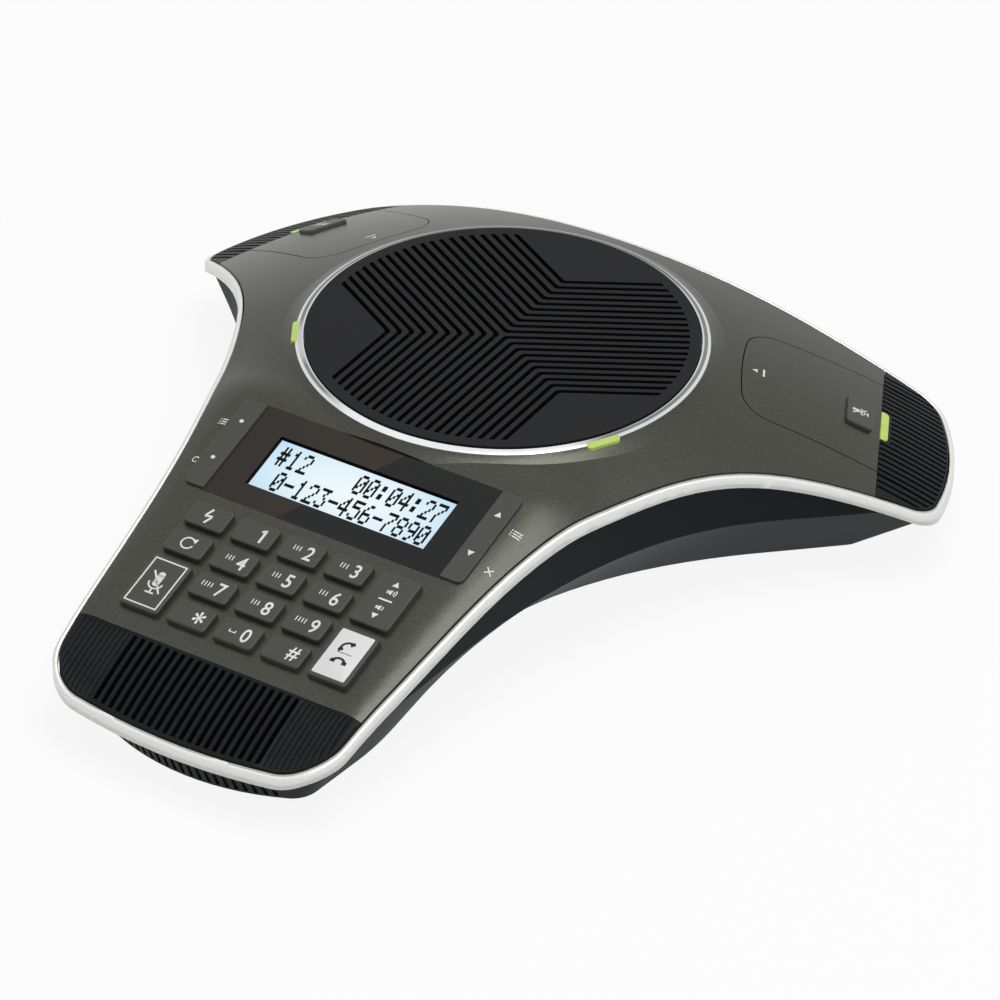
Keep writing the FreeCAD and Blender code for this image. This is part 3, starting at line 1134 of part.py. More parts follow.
for side, turn in ARMS.items():
    free_form(f"arm_end_{side}", strip, turn)
    free_form(f"bay_tray_{side}", tray.common(placed(cavity, turn.inverse())), turn)
    contacts, pins, pack, plate = bound_pieces[side]
    set_down(f"charge_pins_{side}", pins, turn * contact_place)
    free_form(f"unit_cover_{side}", unit_top, turn)
    free_form(f"unit_grille_{side}", unit_end, turn)
    free_form(f"unit_case_{side}", unit_case, turn)
    free_form(f"unit_light_{side}", lamp, turn)
    set_down(f"unit_contacts_{side}", contacts, turn * contact_place)
    set_down(f"unit_cells_{side}", [pack], turn * cell_place)
    set_down(f"unit_board_{side}", [plate], turn * KEY_PLACE)
    name = f"mute_key_{side}"
    under = "-(sizes.unit_wall + sizes.key_gap)"
    block = cap_box(name + "_block", "sizes.mute_length", "sizes.mute_width", "sizes.mute_rise", under, "0", "0")
    doc.recompute()
    body = rounded(block, name + "_corners", size("key_corner"), upright_edges(block.Shape))
    body = rounded(body, name + "_edge", size("key_round"), top_edges(body.Shape), "Part::Chamfer")
    flange = cap_box(name + "_flange", "sizes.mute_length", "sizes.mute_width", under,
                     f"{under} - sizes.key_flange", "0", "0", "sizes.key_flange")
    whole = doc.addObject("Part::MultiFuse", name)
    whole.Shapes = [body, flange]
    doc.recompute()
    move_back(whole, turn * KEY_PLACE)
    keep(whole, name)

# Nothing is written unless every piece is sound
doc.recompute()
for item in doc.Objects:
    if "Invalid" in item.State or "Error" in item.State:
        raise RuntimeError(f"{item.Label} did not compute: {item.State}")
for item in nodes:
    if item.Shape.isNull() or not item.Shape.isValid() or not item.Shape.Solids:
        raise RuntimeError(f"{item.Label} is not a sound solid")
os.makedirs("parts", exist_ok=True)
for item in nodes:
    item.Shape.exportStep(f"parts/{item.Label}.step")
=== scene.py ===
# Conference phone: the finish of every surface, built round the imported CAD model.
# Metres in the CAD's own frame: the table at Z 0, the keypad arm along -Y. Marks are drawn in millimetres.
import math

import bmesh
import bpy
from mathutils import Matrix, Vector
from mathutils.bvhtree import BVHTree
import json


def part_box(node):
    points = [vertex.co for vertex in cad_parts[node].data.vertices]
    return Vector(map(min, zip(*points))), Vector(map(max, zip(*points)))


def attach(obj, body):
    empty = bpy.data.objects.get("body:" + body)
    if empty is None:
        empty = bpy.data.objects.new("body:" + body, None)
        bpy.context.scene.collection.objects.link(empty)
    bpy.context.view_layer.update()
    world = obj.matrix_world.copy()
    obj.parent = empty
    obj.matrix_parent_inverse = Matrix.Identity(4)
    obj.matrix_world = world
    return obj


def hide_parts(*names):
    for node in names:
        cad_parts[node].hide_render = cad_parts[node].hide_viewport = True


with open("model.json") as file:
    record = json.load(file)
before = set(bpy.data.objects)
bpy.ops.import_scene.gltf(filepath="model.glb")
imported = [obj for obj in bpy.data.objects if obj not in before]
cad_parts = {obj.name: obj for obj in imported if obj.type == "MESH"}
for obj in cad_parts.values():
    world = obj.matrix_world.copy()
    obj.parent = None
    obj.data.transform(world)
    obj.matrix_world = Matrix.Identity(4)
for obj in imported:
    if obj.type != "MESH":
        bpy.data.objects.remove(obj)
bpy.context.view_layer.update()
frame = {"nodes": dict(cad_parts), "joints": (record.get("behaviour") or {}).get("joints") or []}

MM = 0.001


# Camera
# The photograph's viewpoint: a long lens from the front right, looking down on the keypad arm. It
# aims below the middle of the speaker grille.
camera_turn = math.radians(31.456)
camera_rise = math.radians(34.912)
camera_roll = math.radians(0.82)
camera_distance = 1.86
camera_lens = 217.104
aim_left = 0.2 * MM
aim_below = 51.14 * MM
camera_back = Vector((math.sin(camera_turn) * math.cos(camera_rise),
                      -math.cos(camera_turn) * math.cos(camera_rise), math.sin(camera_rise)))
camera_right = Vector((math.cos(camera_turn), math.sin(camera_turn), 0))
camera_up = camera_back.cross(camera_right)
grille_low, grille_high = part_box("speaker_grille")
speaker_axis = Vector(((grille_low.x + grille_high.x) / 2, (grille_low.y + grille_high.y) / 2, 0))
grille_top = speaker_axis + Vector((0, 0, grille_high.z))
camera_aim = grille_top - camera_right * aim_left - camera_up * aim_below
tilted_right = camera_right * math.cos(camera_roll) + camera_up * math.sin(camera_roll)
tilted_up = camera_up * math.cos(camera_roll) - camera_right * math.sin(camera_roll)
camera = bpy.data.objects.new("camera", bpy.data.cameras.new("camera"))
bpy.context.scene.collection.objects.link(camera)
camera.data.lens = camera_lens
camera.matrix_world = Matrix.Translation(camera_aim + camera_back * camera_distance) @ Matrix(
    (tilted_right, tilted_up, camera_back)).transposed().to_4x4()
bpy.context.scene.camera = camera
bpy.context.scene.view_settings.view_transform = "Standard"


# Room
# A white table under an even sky, with a broad soft lamp overhead and a weaker one in front.
class Wire:
    """One socket of a material, so that shader maths reads as plain arithmetic."""

    def __init__(self, socket):
        self.socket = socket
        self.tree = socket.id_data

    def node(self, kind, settings=None, sockets=None, output=0):
        """Any node of the same material: its settings first, then values or links for its sockets."""
        made = self.tree.nodes.new(kind)
        for name, value in (settings or {}).items():
            setattr(made, name, value)
        for name, value in (sockets or {}).items():
            if isinstance(value, Wire):
                self.tree.links.new(value.socket, made.inputs[name])
            else:
                made.inputs[name].default_value = value
        return Wire(made.outputs[output]) if made.outputs else None

    def maths(self, operation, first, second=0.0, clamp=False):
        settings = {"operation": operation, "use_clamp": clamp}
        return self.node("ShaderNodeMath", settings, {0: first, 1: second})

    def __add__(self, other):
        return self.maths("ADD", self, other)

    def __sub__(self, other):
        return self.maths("SUBTRACT", self, other)

    def __rsub__(self, other):
        return self.maths("SUBTRACT", other, self)

    def __mul__(self, other):
        return self.maths("MULTIPLY", self, other)

    def __truediv__(self, other):
        return self.maths("DIVIDE", self, other)

    def __abs__(self):
        return self.maths("ABSOLUTE", self)

    def __gt__(self, other):
        return self.maths("GREATER_THAN", self, other)

    def __lt__(self, other):
        return self.maths("LESS_THAN", self, other)

    __radd__ = __add__
    __rmul__ = __mul__

    def most(self, other):
        """The greater of two values."""
        return self.maths("MAXIMUM", self, other)

    def rise(self, start, end):
        """0 below start, 1 above end, and smooth between them."""
        return self.node("ShaderNodeMapRange", {"interpolation_type": "SMOOTHSTEP"},
                         {"Value": self, "From Min": start, "From Max": end})

    def tint(self, low, high):
        """The colour that runs from low to high as this value goes from 0 to 1."""
        return self.node("ShaderNodeMix", {"data_type": "RGBA"}, {0: self, 6: low, 7: high}, output=2)


def shown_or_lit(tree):
    """1 where the camera or a reflection looks, 0 where light only bounces."""
    rays = tree.nodes.new("ShaderNodeLightPath")
    seen_directly = Wire(rays.outputs["Is Camera Ray"])
    mirrored = Wire(rays.outputs["Is Glossy Ray"])
    seen_through = Wire(rays.outputs["Is Transmission Ray"])
    return mirrored.maths("ADD", seen_directly + mirrored, seen_through, clamp=True)


sky_light = 0.27
sky = bpy.data.worlds.new("studio_sky")
bpy.context.scene.world = sky
sky.use_nodes = True
sky.node_tree.nodes.clear()
seen = shown_or_lit(sky.node_tree)
sky_strength = seen * (1 - sky_light) + sky_light
sky_glow = seen.node("ShaderNodeBackground", {}, {"Color": (1, 1, 1, 1), "Strength": sky_strength})
seen.node("ShaderNodeOutputWorld", {}, {"Surface": sky_glow})

table_tone = 0.92
table_glow = 0.9
table_reach = 4.0
table_gap = 0.1 * MM
table_paint = bpy.data.materials.new("table_white")
table_paint.use_nodes = True
table_paint.node_tree.nodes.clear()
seen = shown_or_lit(table_paint.node_tree)
table_matt = seen.node("ShaderNodeBsdfDiffuse", {}, {"Color": (table_tone, table_tone, table_tone, 1)})
table_bright = seen.node("ShaderNodeEmission", {}, {"Color": (1, 1, 1, 1), "Strength": 1.0})
table_mix = seen.node("ShaderNodeMixShader", {}, {0: seen * table_glow, 1: table_matt, 2: table_bright})
seen.node("ShaderNodeOutputMaterial", {}, {"Surface": table_mix})
table_shape = bmesh.new()
bmesh.ops.create_grid(table_shape, x_segments=1, y_segments=1, size=table_reach)
bmesh.ops.translate(table_shape, verts=table_shape.verts, vec=(0, 0, -table_gap))
table_mesh = bpy.data.meshes.new("table")
table_shape.to_mesh(table_mesh)
table_shape.free()
table_mesh.materials.append(table_paint)
table = bpy.data.objects.new("table", table_mesh)
bpy.context.scene.collection.objects.link(table)

for lamp_name, lamp_place, lamp_width, lamp_power in (
        ("lamp_over", Vector((0.35, -0.02, 1.6)), 0.9, 14.5),
        ("lamp_front", Vector((1.2, -1.4, 1.1)), 1.0, 2.0)):
    lamp = bpy.data.objects.new(lamp_name, bpy.data.lights.new(lamp_name, "AREA"))
    bpy.context.scene.collection.objects.link(lamp)
    lamp.data.shape = "SQUARE"
    lamp.data.size = lamp_width
    lamp.data.energy = lamp_power
    towards_phone = lamp_place.to_track_quat("Z", "Y").to_matrix().to_4x4()
    lamp.matrix_world = Matrix.Translation(lamp_place) @ towards_phone


# Lower housing
# The dark tub that carries the works, moulded from black ABS with a fine sparked grain. Its hull
# slants in to a narrow floor, and the cover closes it from above.
def paint(red, green, blue):
    """A colour named by its screen values, as shaders want it."""
    shares = [value / 255 for value in (red, green, blue)]
    return [s / 12.92 if s <= 0.04045 else ((s + 0.055) / 1.055) ** 2.4 for s in shares] + [1]


def new_finish(name):
    """Start a material; its nodes grow from the place on the object."""
    material = bpy.data.materials.new(name)
    material.use_nodes = True
    material.node_tree.nodes.clear()
    return material, Wire(material.node_tree.nodes.new("ShaderNodeTexCoord").outputs["Object"])


def grain(place, size, detail=2.0):
    """Noise whose grains are about size across, in metres."""
    return place.node("ShaderNodeTexNoise", {}, {"Vector": place, "Scale": 0.6 / size, "Detail": detail})


def relief(height, depth):
    """The surface's normal, raised and lowered by a height of 0 to 1 times depth."""
    return height.node("ShaderNodeBump", {}, {"Height": height, "Distance": depth, "Strength": 1.0})


def surface(place, sockets):
    """End a material with its surface shader."""
    shader = place.node("ShaderNodeBsdfPrincipled", {}, sockets)
    place.node("ShaderNodeOutputMaterial", {}, {"Surface": shader})


def dress(material, *nodes):
    """Give CAD nodes a finish."""
    for node in nodes:
        for slot in frame["nodes"][node].material_slots:
            slot.material = material


housing_black, place = new_finish("housing_black")
housing_grain = grain(place, 0.35 * MM)
housing_cloud = grain(place, 25 * MM)
housing_tone = housing_cloud * 0.6 + housing_grain * 0.4
surface(place, {
    "Base Color": housing_tone.tint(paint(22, 26, 29), paint(32, 37, 40)),
    "Roughness": housing_grain * 0.12 + 0.48,
    "Specular IOR Level": 0.08,
    "Normal": relief(housing_grain, 0.02 * MM)})
dress(housing_black, "lower_housing")


# Feet, ballast and screws
# Four rubber discs in pockets of the floor, a zinc-plated weight on it, and the screws that go up
# through the housing's posts into those of the cover.
rubber_black, place = new_finish("foot_rubber")
rubber_grain = grain(place, 0.5 * MM, 4.0)
surface(place, {
    "Base Color": rubber_grain.tint(paint(24, 24, 25), paint(38, 38, 39)),
    "Roughness": rubber_grain * 0.15 + 0.75,
    "Specular IOR Level": 0.3,
    "Normal": relief(rubber_grain, 0.04 * MM)})
dress(rubber_black, "feet")
plated_steel, place = new_finish("plated_steel")
spangle_scale = 350.0
spangle = place.node("ShaderNodeTexVoronoi", {}, {"Vector": place, "Scale": spangle_scale}, output=1)
steel_tone = place.node("ShaderNodeRGBToBW", {}, {"Color": spangle})
surface(place, {
    "Base Color": steel_tone.tint(paint(160, 162, 165), paint(190, 192, 195)),
    "Metallic": 1.0,
    "Roughness": steel_tone * 0.2 + 0.25})
dress(plated_steel, "ballast_plate", "housing_screws", "speaker_frame")


# Main board and keypad sheet
# A green glass-fibre board with its copper tracks, on posts of the housing, and the sheet of grey
# rubber that lies on it under the keys. The microphone units have small boards of the same kind.
board_green, place = new_finish("board_green")
track_scale = 320.0
track_edge = 0.62
track_wave = place.node("ShaderNodeTexWave", {"bands_direction": "X"}, {
    "Vector": place, "Scale": track_scale, "Distortion": 6.0, "Detail": 1.0, "Detail Scale": 0.4})
tracks = track_wave > track_edge
surface(place, {
    "Base Color": tracks.tint(paint(20, 70, 44), paint(34, 100, 62)),
    "Roughness": 0.35,
    "Normal": relief(tracks, 0.03 * MM)})
dress(board_green, "main_board", "unit_board_right", "unit_board_left")
sheet_grey, place = new_finish("sheet_rubber")
sheet_dust = grain(place, 1.5 * MM, 3.0)
surface(place, {
    "Base Color": sheet_dust.tint(paint(60, 60, 62), paint(74, 74, 76)),
    "Roughness": sheet_dust * 0.1 + 0.6})
dress(sheet_grey, "keypad_sheet")


# Sockets
# The line socket and the power socket, black mouldings that look out through the back wall, and the
# capsule of the console's own microphone. The line socket has six gilt springs, which are bent wires.
socket_black, place = new_finish("socket_black")
socket_grain = grain(place, 0.4 * MM)
surface(place, {
    "Base Color": socket_grain.tint(paint(18, 18, 19), paint(30, 30, 32)),
    "Roughness": socket_grain * 0.1 + 0.35,
    "Specular IOR Level": 0.3})
dress(socket_black, "line_socket", "power_socket", "front_microphone")
contact_gold, place = new_finish("contact_gold")
gold_cloud = grain(place, 1.0 * MM)
surface(place, {
    "Base Color": gold_cloud.tint(paint(212, 170, 90), paint(235, 200, 120)),
    "Metallic": 1.0,
    "Roughness": gold_cloud * 0.15 + 0.2})


def new_piece(name, shape, material, crease=40):
    """Make an object of a finished bmesh, smooth except where its faces meet at more than crease."""
    mesh = bpy.data.meshes.new(name)
    shape.to_mesh(mesh)
    shape.free()
    mesh.materials.append(material)
    mesh.shade_smooth()
    mesh.set_sharp_from_angle(angle=math.radians(crease))
    piece = bpy.data.objects.new(name, mesh)
    bpy.context.scene.collection.objects.link(piece)
    return piece


def bevel(shape, edges, width, steps=4):
    bmesh.ops.bevel(shape, geom=edges, offset=width, offset_type="OFFSET", segments=steps, profile=0.5,
                    affect="EDGES", material=-1, clamp_overlap=True)


socket_low, socket_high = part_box("line_socket")
spring_count = 6
spring_pitch = 1.02 * MM
spring_size = Matrix.Diagonal((0.45 * MM, 7 * MM, 0.3 * MM, 1))
spring_lean = Matrix.Rotation(math.radians(14), 4, "X")
spring_y = socket_high.y - 5 * MM
spring_z = (socket_low.z + socket_high.z) / 2 + 1.6 * MM
springs = bmesh.new()
for i in range(spring_count):
    spring_x = (socket_low.x + socket_high.x) / 2 + (i - (spring_count - 1) / 2) * spring_pitch
    spring_place = Matrix.Translation((spring_x, spring_y, spring_z))
    bmesh.ops.create_cube(springs, size=1, matrix=spring_place @ spring_lean @ spring_size)
bevel(springs, springs.edges[:], 0.08 * MM, 2)
line_springs = new_piece("line_springs", springs, contact_gold)
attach(line_springs, "console")


# Loudspeaker
# A pressed steel frame with its magnet, fixed under the deck, and a black paper cone that hangs in it
# by a rubber surround.
def round_speaker(place):
    """A material's place as seen from the speaker's axis, and its distance from that axis."""
    offset = place.node("ShaderNodeVectorMath", {"operation": "SUBTRACT"}, {0: place, 1: speaker_axis})
    level = offset.node("ShaderNodeVectorMath", {"operation": "MULTIPLY"}, {0: offset, 1: (1, 1, 0)})
    return offset, level.node("ShaderNodeVectorMath", {"operation": "LENGTH"}, {0: level}, output=1)


cone_paper, place = new_finish("cone_paper")
cone_radius = round_speaker(place)[1]
paper_fibre = grain(place, 0.6 * MM, 5.0)
surround_radius = 29 * MM
surround = cone_radius > surround_radius
surface(place, {
    "Base Color": (paper_fibre * (1 - surround)).tint(paint(20, 21, 22), paint(44, 44, 43)),
    "Roughness": 0.9 - surround * 0.3,
    "Specular IOR Level": 0.2,
    "Normal": relief(paper_fibre, 0.05 * MM)})
dress(cone_paper, "speaker_cone")


# Upper cover
# The big moulding that closes the phone, painted with a grey metallic lacquer of fine flakes. The
# covers of the two microphone units come out of the same paint.
cover_grey, place = new_finish("cover_grey")
flakes = grain(place, 0.2 * MM, 2.0)
cover_cloud = grain(place, 40 * MM)
cover_peel = grain(place, 1.6 * MM, 1.0)
flake_tone = flakes.rise(0.3, 0.75)
cover_tone = flake_tone * 0.8 + cover_cloud * 0.2
surface(place, {
    "Base Color": cover_tone.tint(paint(60, 61, 55), paint(85, 86, 79)),
    "Metallic": 0.8,
    "Roughness": flake_tone * 0.1 + 0.29,
    "Specular IOR Level": 0.2,
    "Normal": relief(flakes * 0.5 + cover_peel * 0.5, 0.012 * MM)})
dress(cover_grey, "upper_cover", "unit_cover_right", "unit_cover_left")


# Display
# A backlit module in a frame, which shows dark dots on pale blue. The window over it is a sheet of
# acrylic set into the cover, smoked from behind all round the lit field.
press_axis = {joint["name"]: Vector(joint["axis"]) for joint in frame["joints"]}
panel_up = -press_axis["key_5_press"]
panel_side = Vector((1, 0, 0))
panel_turn = Matrix((panel_side, panel_up.cross(panel_side), panel_up)).transposed().to_4x4()


def span(node, turn):
    """Lowest and highest corner of a CAD node along the axes of a turned frame."""
    inverse = turn.inverted()
    points = [inverse @ vertex.co for vertex in frame["nodes"][node].data.vertices]
    low = Vector([min(point[i] for point in points) for i in range(3)])
    high = Vector([max(point[i] for point in points) for i in range(3)])
    return low, high


frame_width = 2.8 * MM
module_low, module_high = span("display_module", panel_turn)
lit_middle = (module_low + module_high) / 2
lit_half = (module_high - module_low) / 2 - Vector((frame_width, frame_width, 0))


def on_panel(place):
    """A material's place on the panel: how far across and how far along."""
    upwards = panel_turn.col[1].to_3d()
    along = place.node("ShaderNodeVectorMath", {"operation": "DOT_PRODUCT"}, {0: place, 1: upwards}, output=1)
    across = place.node("ShaderNodeSeparateXYZ", {}, {"Vector": place})
    return across, along


lcd_light, place = new_finish("lcd_light")
across, along = on_panel(place)
off_centre = abs(across - lit_middle.x) / lit_half.x
off_line = abs(along - lit_middle.y) / lit_half.y
outside = (off_centre > 1.0).most(off_line > 1.0)
lcd_fade = off_centre * off_centre * 0.7 + off_line * off_line * 0.3
lcd_colour = lcd_fade.tint(paint(238, 249, 252), paint(190, 224, 246))
surface(place, {
    "Base Color": paint(12, 12, 13),
    "Roughness": 0.5,
    "Specular IOR Level": 0.0,
    "Emission Color": outside.tint(lcd_colour, (0, 0, 0, 1)),
    "Emission Strength": 1.0})
# vertices this near to each other are one, and those this near to a height lie on it
near = 0.001 * MM
hair = 0.01 * MM


def merged_copy(node, reach=near):
    """A bmesh of a CAD node whose loose triangles are joined where their corners meet."""
    shape = bmesh.new()
    shape.from_mesh(frame["nodes"][node].data)
    bmesh.ops.remove_doubles(shape, verts=shape.verts, dist=reach)
    return shape


# the module's face lies a little behind the window, so that the two don't share one plane
glass_gap = 0.2 * MM
module = merged_copy("display_module")
to_panel = panel_turn.inverted()
lit_face = [vertex for vertex in module.verts if (to_panel @ vertex.co).z > module_high.z - hair]
bmesh.ops.translate(module, verts=lit_face, vec=-panel_up * glass_gap)
lit_module = new_piece("lit_module", module, lcd_light)
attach(lit_module, "console")
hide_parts("display_module")

lcd_black, place = new_finish("lcd_dots")
dot_cloud = grain(place, 8 * MM)
surface(place, {
    "Base Color": dot_cloud.tint(paint(24, 26, 26), paint(38, 40, 40)),
    "Roughness": 0.7,
    "Specular IOR Level": 0.0})
DOT_ROWS = {
    "0": ".###. #...# #..## #.#.# ##..# #...# .###.",
    "1": "..#.. .##.. ..#.. ..#.. ..#.. ..#.. .###.",
    "2": ".###. #...# ....# ...#. ..#.. .#... #####",
    "3": "##### ...#. ..#.. ...#. ....# #...# .###.",
    "4": "...#. ..##. .#.#. #..#. ##### ...#. ...#.",
    "5": "##### #.... ####. ....# ....# #...# .###.",
    "6": "..##. .#... #.... ####. #...# #...# .###.",
    "7": "##### ....# ...#. ..#.. .#... .#... .#...",
    "8": ".###. #...# #...# .###. #...# #...# .###.",
    "9": ".###. #...# #...# .#### ....# ...#. .##..",
    "-": "..... ..... ..... ##### ..... ..... .....",
    ":": "..... .##.. .##.. ..... .##.. .##.. .....",
    "#": ".#.#. .#.#. ##### .#.#. ##### .#.#. .#.#.",
}
display_lines = ("#12    00:04:27", " 0-123-456-7890")
dots_across = 5
dots_down = 7
cell_width = 3.96 * MM
line_pitch = 9.4 * MM
dot_wide = cell_width / (dots_across + 1)
dot_tall = 1.12 * MM
dot_size = Matrix.Diagonal((1.1 * dot_wide, 1.04 * dot_tall, 0.06 * MM, 1))
dots = bmesh.new()


def show_character(rows, left, top):
    """Add one character's dots, its box beginning at left and top on the panel."""
    for j, pattern in enumerate(rows):
        for i, dot in enumerate(pattern):
            if dot == "#":
                dot_place = Matrix.Translation((
                    left + (i + 0.5) * dot_wide, top - (j + 0.5) * dot_tall, module_high.z - glass_gap))
                bmesh.ops.create_cube(dots, size=1, matrix=panel_turn @ dot_place @ dot_size)


for row, text in enumerate(display_lines):
    line_top = lit_middle.y + line_pitch * (1 - row) - (line_pitch - dots_down * dot_tall) / 2
    for column, character in enumerate(text):
        cell_left = lit_middle.x + (column - len(text) / 2) * cell_width + dot_wide / 2
        if character in DOT_ROWS:
            show_character(DOT_ROWS[character].split(), cell_left, line_top)
lcd_digits = new_piece("lcd_digits", dots, lcd_black)
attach(lcd_digits, "console")

window_smoke_and_painted_reflection, place = new_finish("window_smoke_and_painted_reflection")
across, along = on_panel(place)
smoke_blur = 0.1 * MM
past_side = (abs(across - lit_middle.x) - lit_half.x).rise(0.0, smoke_blur)
past_line = (abs(along - lit_middle.y) - lit_half.y).rise(0.0, smoke_blur)
smoked = past_side.most(past_line)
# painted reflection: the room's reflection in the window's gloss is painted into its base colour, brown left
# of a slanting edge
reflection_edge_lean = 0.6
reflection_edge_offset = 4.5 * MM
reflection_edge_blur = 0.3 * MM
beyond_painted_reflection = (across - (along - lit_middle.y) * reflection_edge_lean + reflection_edge_offset).rise(-reflection_edge_blur, reflection_edge_blur)
painted_reflection_brown = (across / (lit_half.x * 2) + 0.5).tint(paint(46, 42, 37), paint(60, 50, 42))
# base colour: a painted brown reflection left of the slanting edge, and the smoke's own dark grey right of it
surface(place, {
    "Base Color": beyond_painted_reflection.tint(painted_reflection_brown, paint(26, 27, 27)),
    "Roughness": 0.07,
    "Specular IOR Level": 0.2,
    "Alpha": smoked})
dress(window_smoke_and_painted_reflection, "display_window")


# Keypad
# Keys moulded in dark grey plastic: a cap with round edges on a flange that holds it under the
# cover. Each moves by itself, and the talk key has a white plate on its face.
key_grey, place = new_finish("key_grey")
key_grain = grain(place, 0.3 * MM, 2.0)
key_cloud = grain(place, 12 * MM)
key_tone = key_grain * 0.6 + key_cloud * 0.4
surface(place, {
    "Base Color": key_tone.tint(paint(58, 59, 54), paint(74, 75, 69)),
    "Roughness": key_grain * 0.14 + 0.4,
    "Specular IOR Level": 0.35,
    "Normal": relief(key_grain, 0.01 * MM)})
key_corner = 1.35 * MM
key_edge = 0.5 * MM
flange = 0.9 * MM
crown_border = 0.15 * MM


def uprightness(edge):
    """0 for a level edge, 1 for one that stands upright."""
    return abs((edge.verts[0].co - edge.verts[1].co).normalized().z)


def points_of(items):
    """The vertices among what an operator returns."""
    return [item for item in items if isinstance(item, bmesh.types.BMVert)]


def moulded_cap(node, turn, corner, edge, sides=(-1, 1)):
    """A key in the place of a CAD node: flange, upright wall, round corners and a round top edge."""
    low, high = span(node, turn)
    cap = bmesh.new()
    middle = (low + high) / 2
    size = high - low
    foot_place = Matrix.Translation((middle.x, middle.y, low.z + flange / 2))
    foot_size = Matrix.Diagonal((size.x, size.y, flange, 1))
    bmesh.ops.create_cube(cap, size=1, matrix=foot_place @ foot_size)
    top = max(cap.faces, key=lambda face: face.calc_center_median().z)
    bmesh.ops.inset_individual(cap, faces=[top], thickness=flange)
    grown = bmesh.ops.extrude_face_region(cap, geom=[top])["geom"]
    bmesh.ops.delete(cap, geom=[top], context="FACES_ONLY")
    bmesh.ops.translate(cap, verts=points_of(grown), vec=(0, 0, size.z - flange))
    uprights = [item for item in cap.edges if item.calc_length() > 1.5 * flange
                and uprightness(item) > 0.9
                and math.copysign(1, item.verts[0].co.x - middle.x) in sides]
    bevel(cap, uprights, corner, 6)
    rim = [item for item in cap.edges if all(vertex.co.z > high.z - hair for vertex in item.verts)]
    bevel(cap, rim, edge, 5)
    crown = max(cap.faces, key=lambda face: (round(face.calc_center_median().z, 6), face.calc_area()))
    bmesh.ops.inset_individual(cap, faces=[crown], thickness=crown_border)
    bmesh.ops.transform(cap, matrix=turn, verts=cap.verts)
    return cap


KEYS = [name for name in frame["nodes"] if name.startswith("key_") or name == "volume_rocker"]
for name in KEYS:
    cap = new_piece(name + "_cap", moulded_cap(name, panel_turn, key_corner, key_edge), key_grey)
    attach(cap, name + "_body")
    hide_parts(name)

talk_white, place = new_finish("talk_white")
white_cloud = grain(place, 3 * MM)
surface(place, {
    "Base Color": white_cloud.tint(paint(238, 238, 238), paint(246, 246, 246)),
    "Roughness": white_cloud * 0.1 + 0.35})
talk_margin = 1.0 * MM
talk_thickness = 0.3 * MM
talk_corner = 0.5 * MM
talk_edge = 0.1 * MM


def on_top(low, high, lift=0.0):
    """The middle of a span's upper face."""
    return Matrix.Translation(((low.x + high.x) / 2, (low.y + high.y) / 2, high.z + lift))


talk_low, talk_high = span("key_talk", panel_turn)
talk_size = talk_high - talk_low - Vector((1, 1, 0)) * 2 * (flange + talk_margin)
plate = bmesh.new()
plate_size = Matrix.Diagonal((talk_size.x, talk_size.y, talk_thickness, 1))
bmesh.ops.create_cube(plate, size=1, matrix=on_top(talk_low, talk_high) @ plate_size)
bevel(plate, [edge for edge in plate.edges if uprightness(edge) > 0.9], talk_corner)
plate_rim = [edge for edge in plate.edges if all(vertex.co.z > talk_high.z for vertex in edge.verts)]
bevel(plate, plate_rim, talk_edge, 2)
bmesh.ops.transform(plate, matrix=panel_turn, verts=plate.verts)
talk_face = new_piece("talk_face", plate, talk_white)
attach(talk_face, "key_talk_body")


# Printed marks
# White and black ink, pad-printed after moulding: figures and plain signs, one print for each key.
# What each mark measures on the key is written in millimetres.
def drop(skin, point):
    """Where a point lands on a skin when it falls on it from well above."""
    return skin.ray_cast(point + Vector((0, 0, 20 * MM)), Vector((0, 0, -1)))[0]


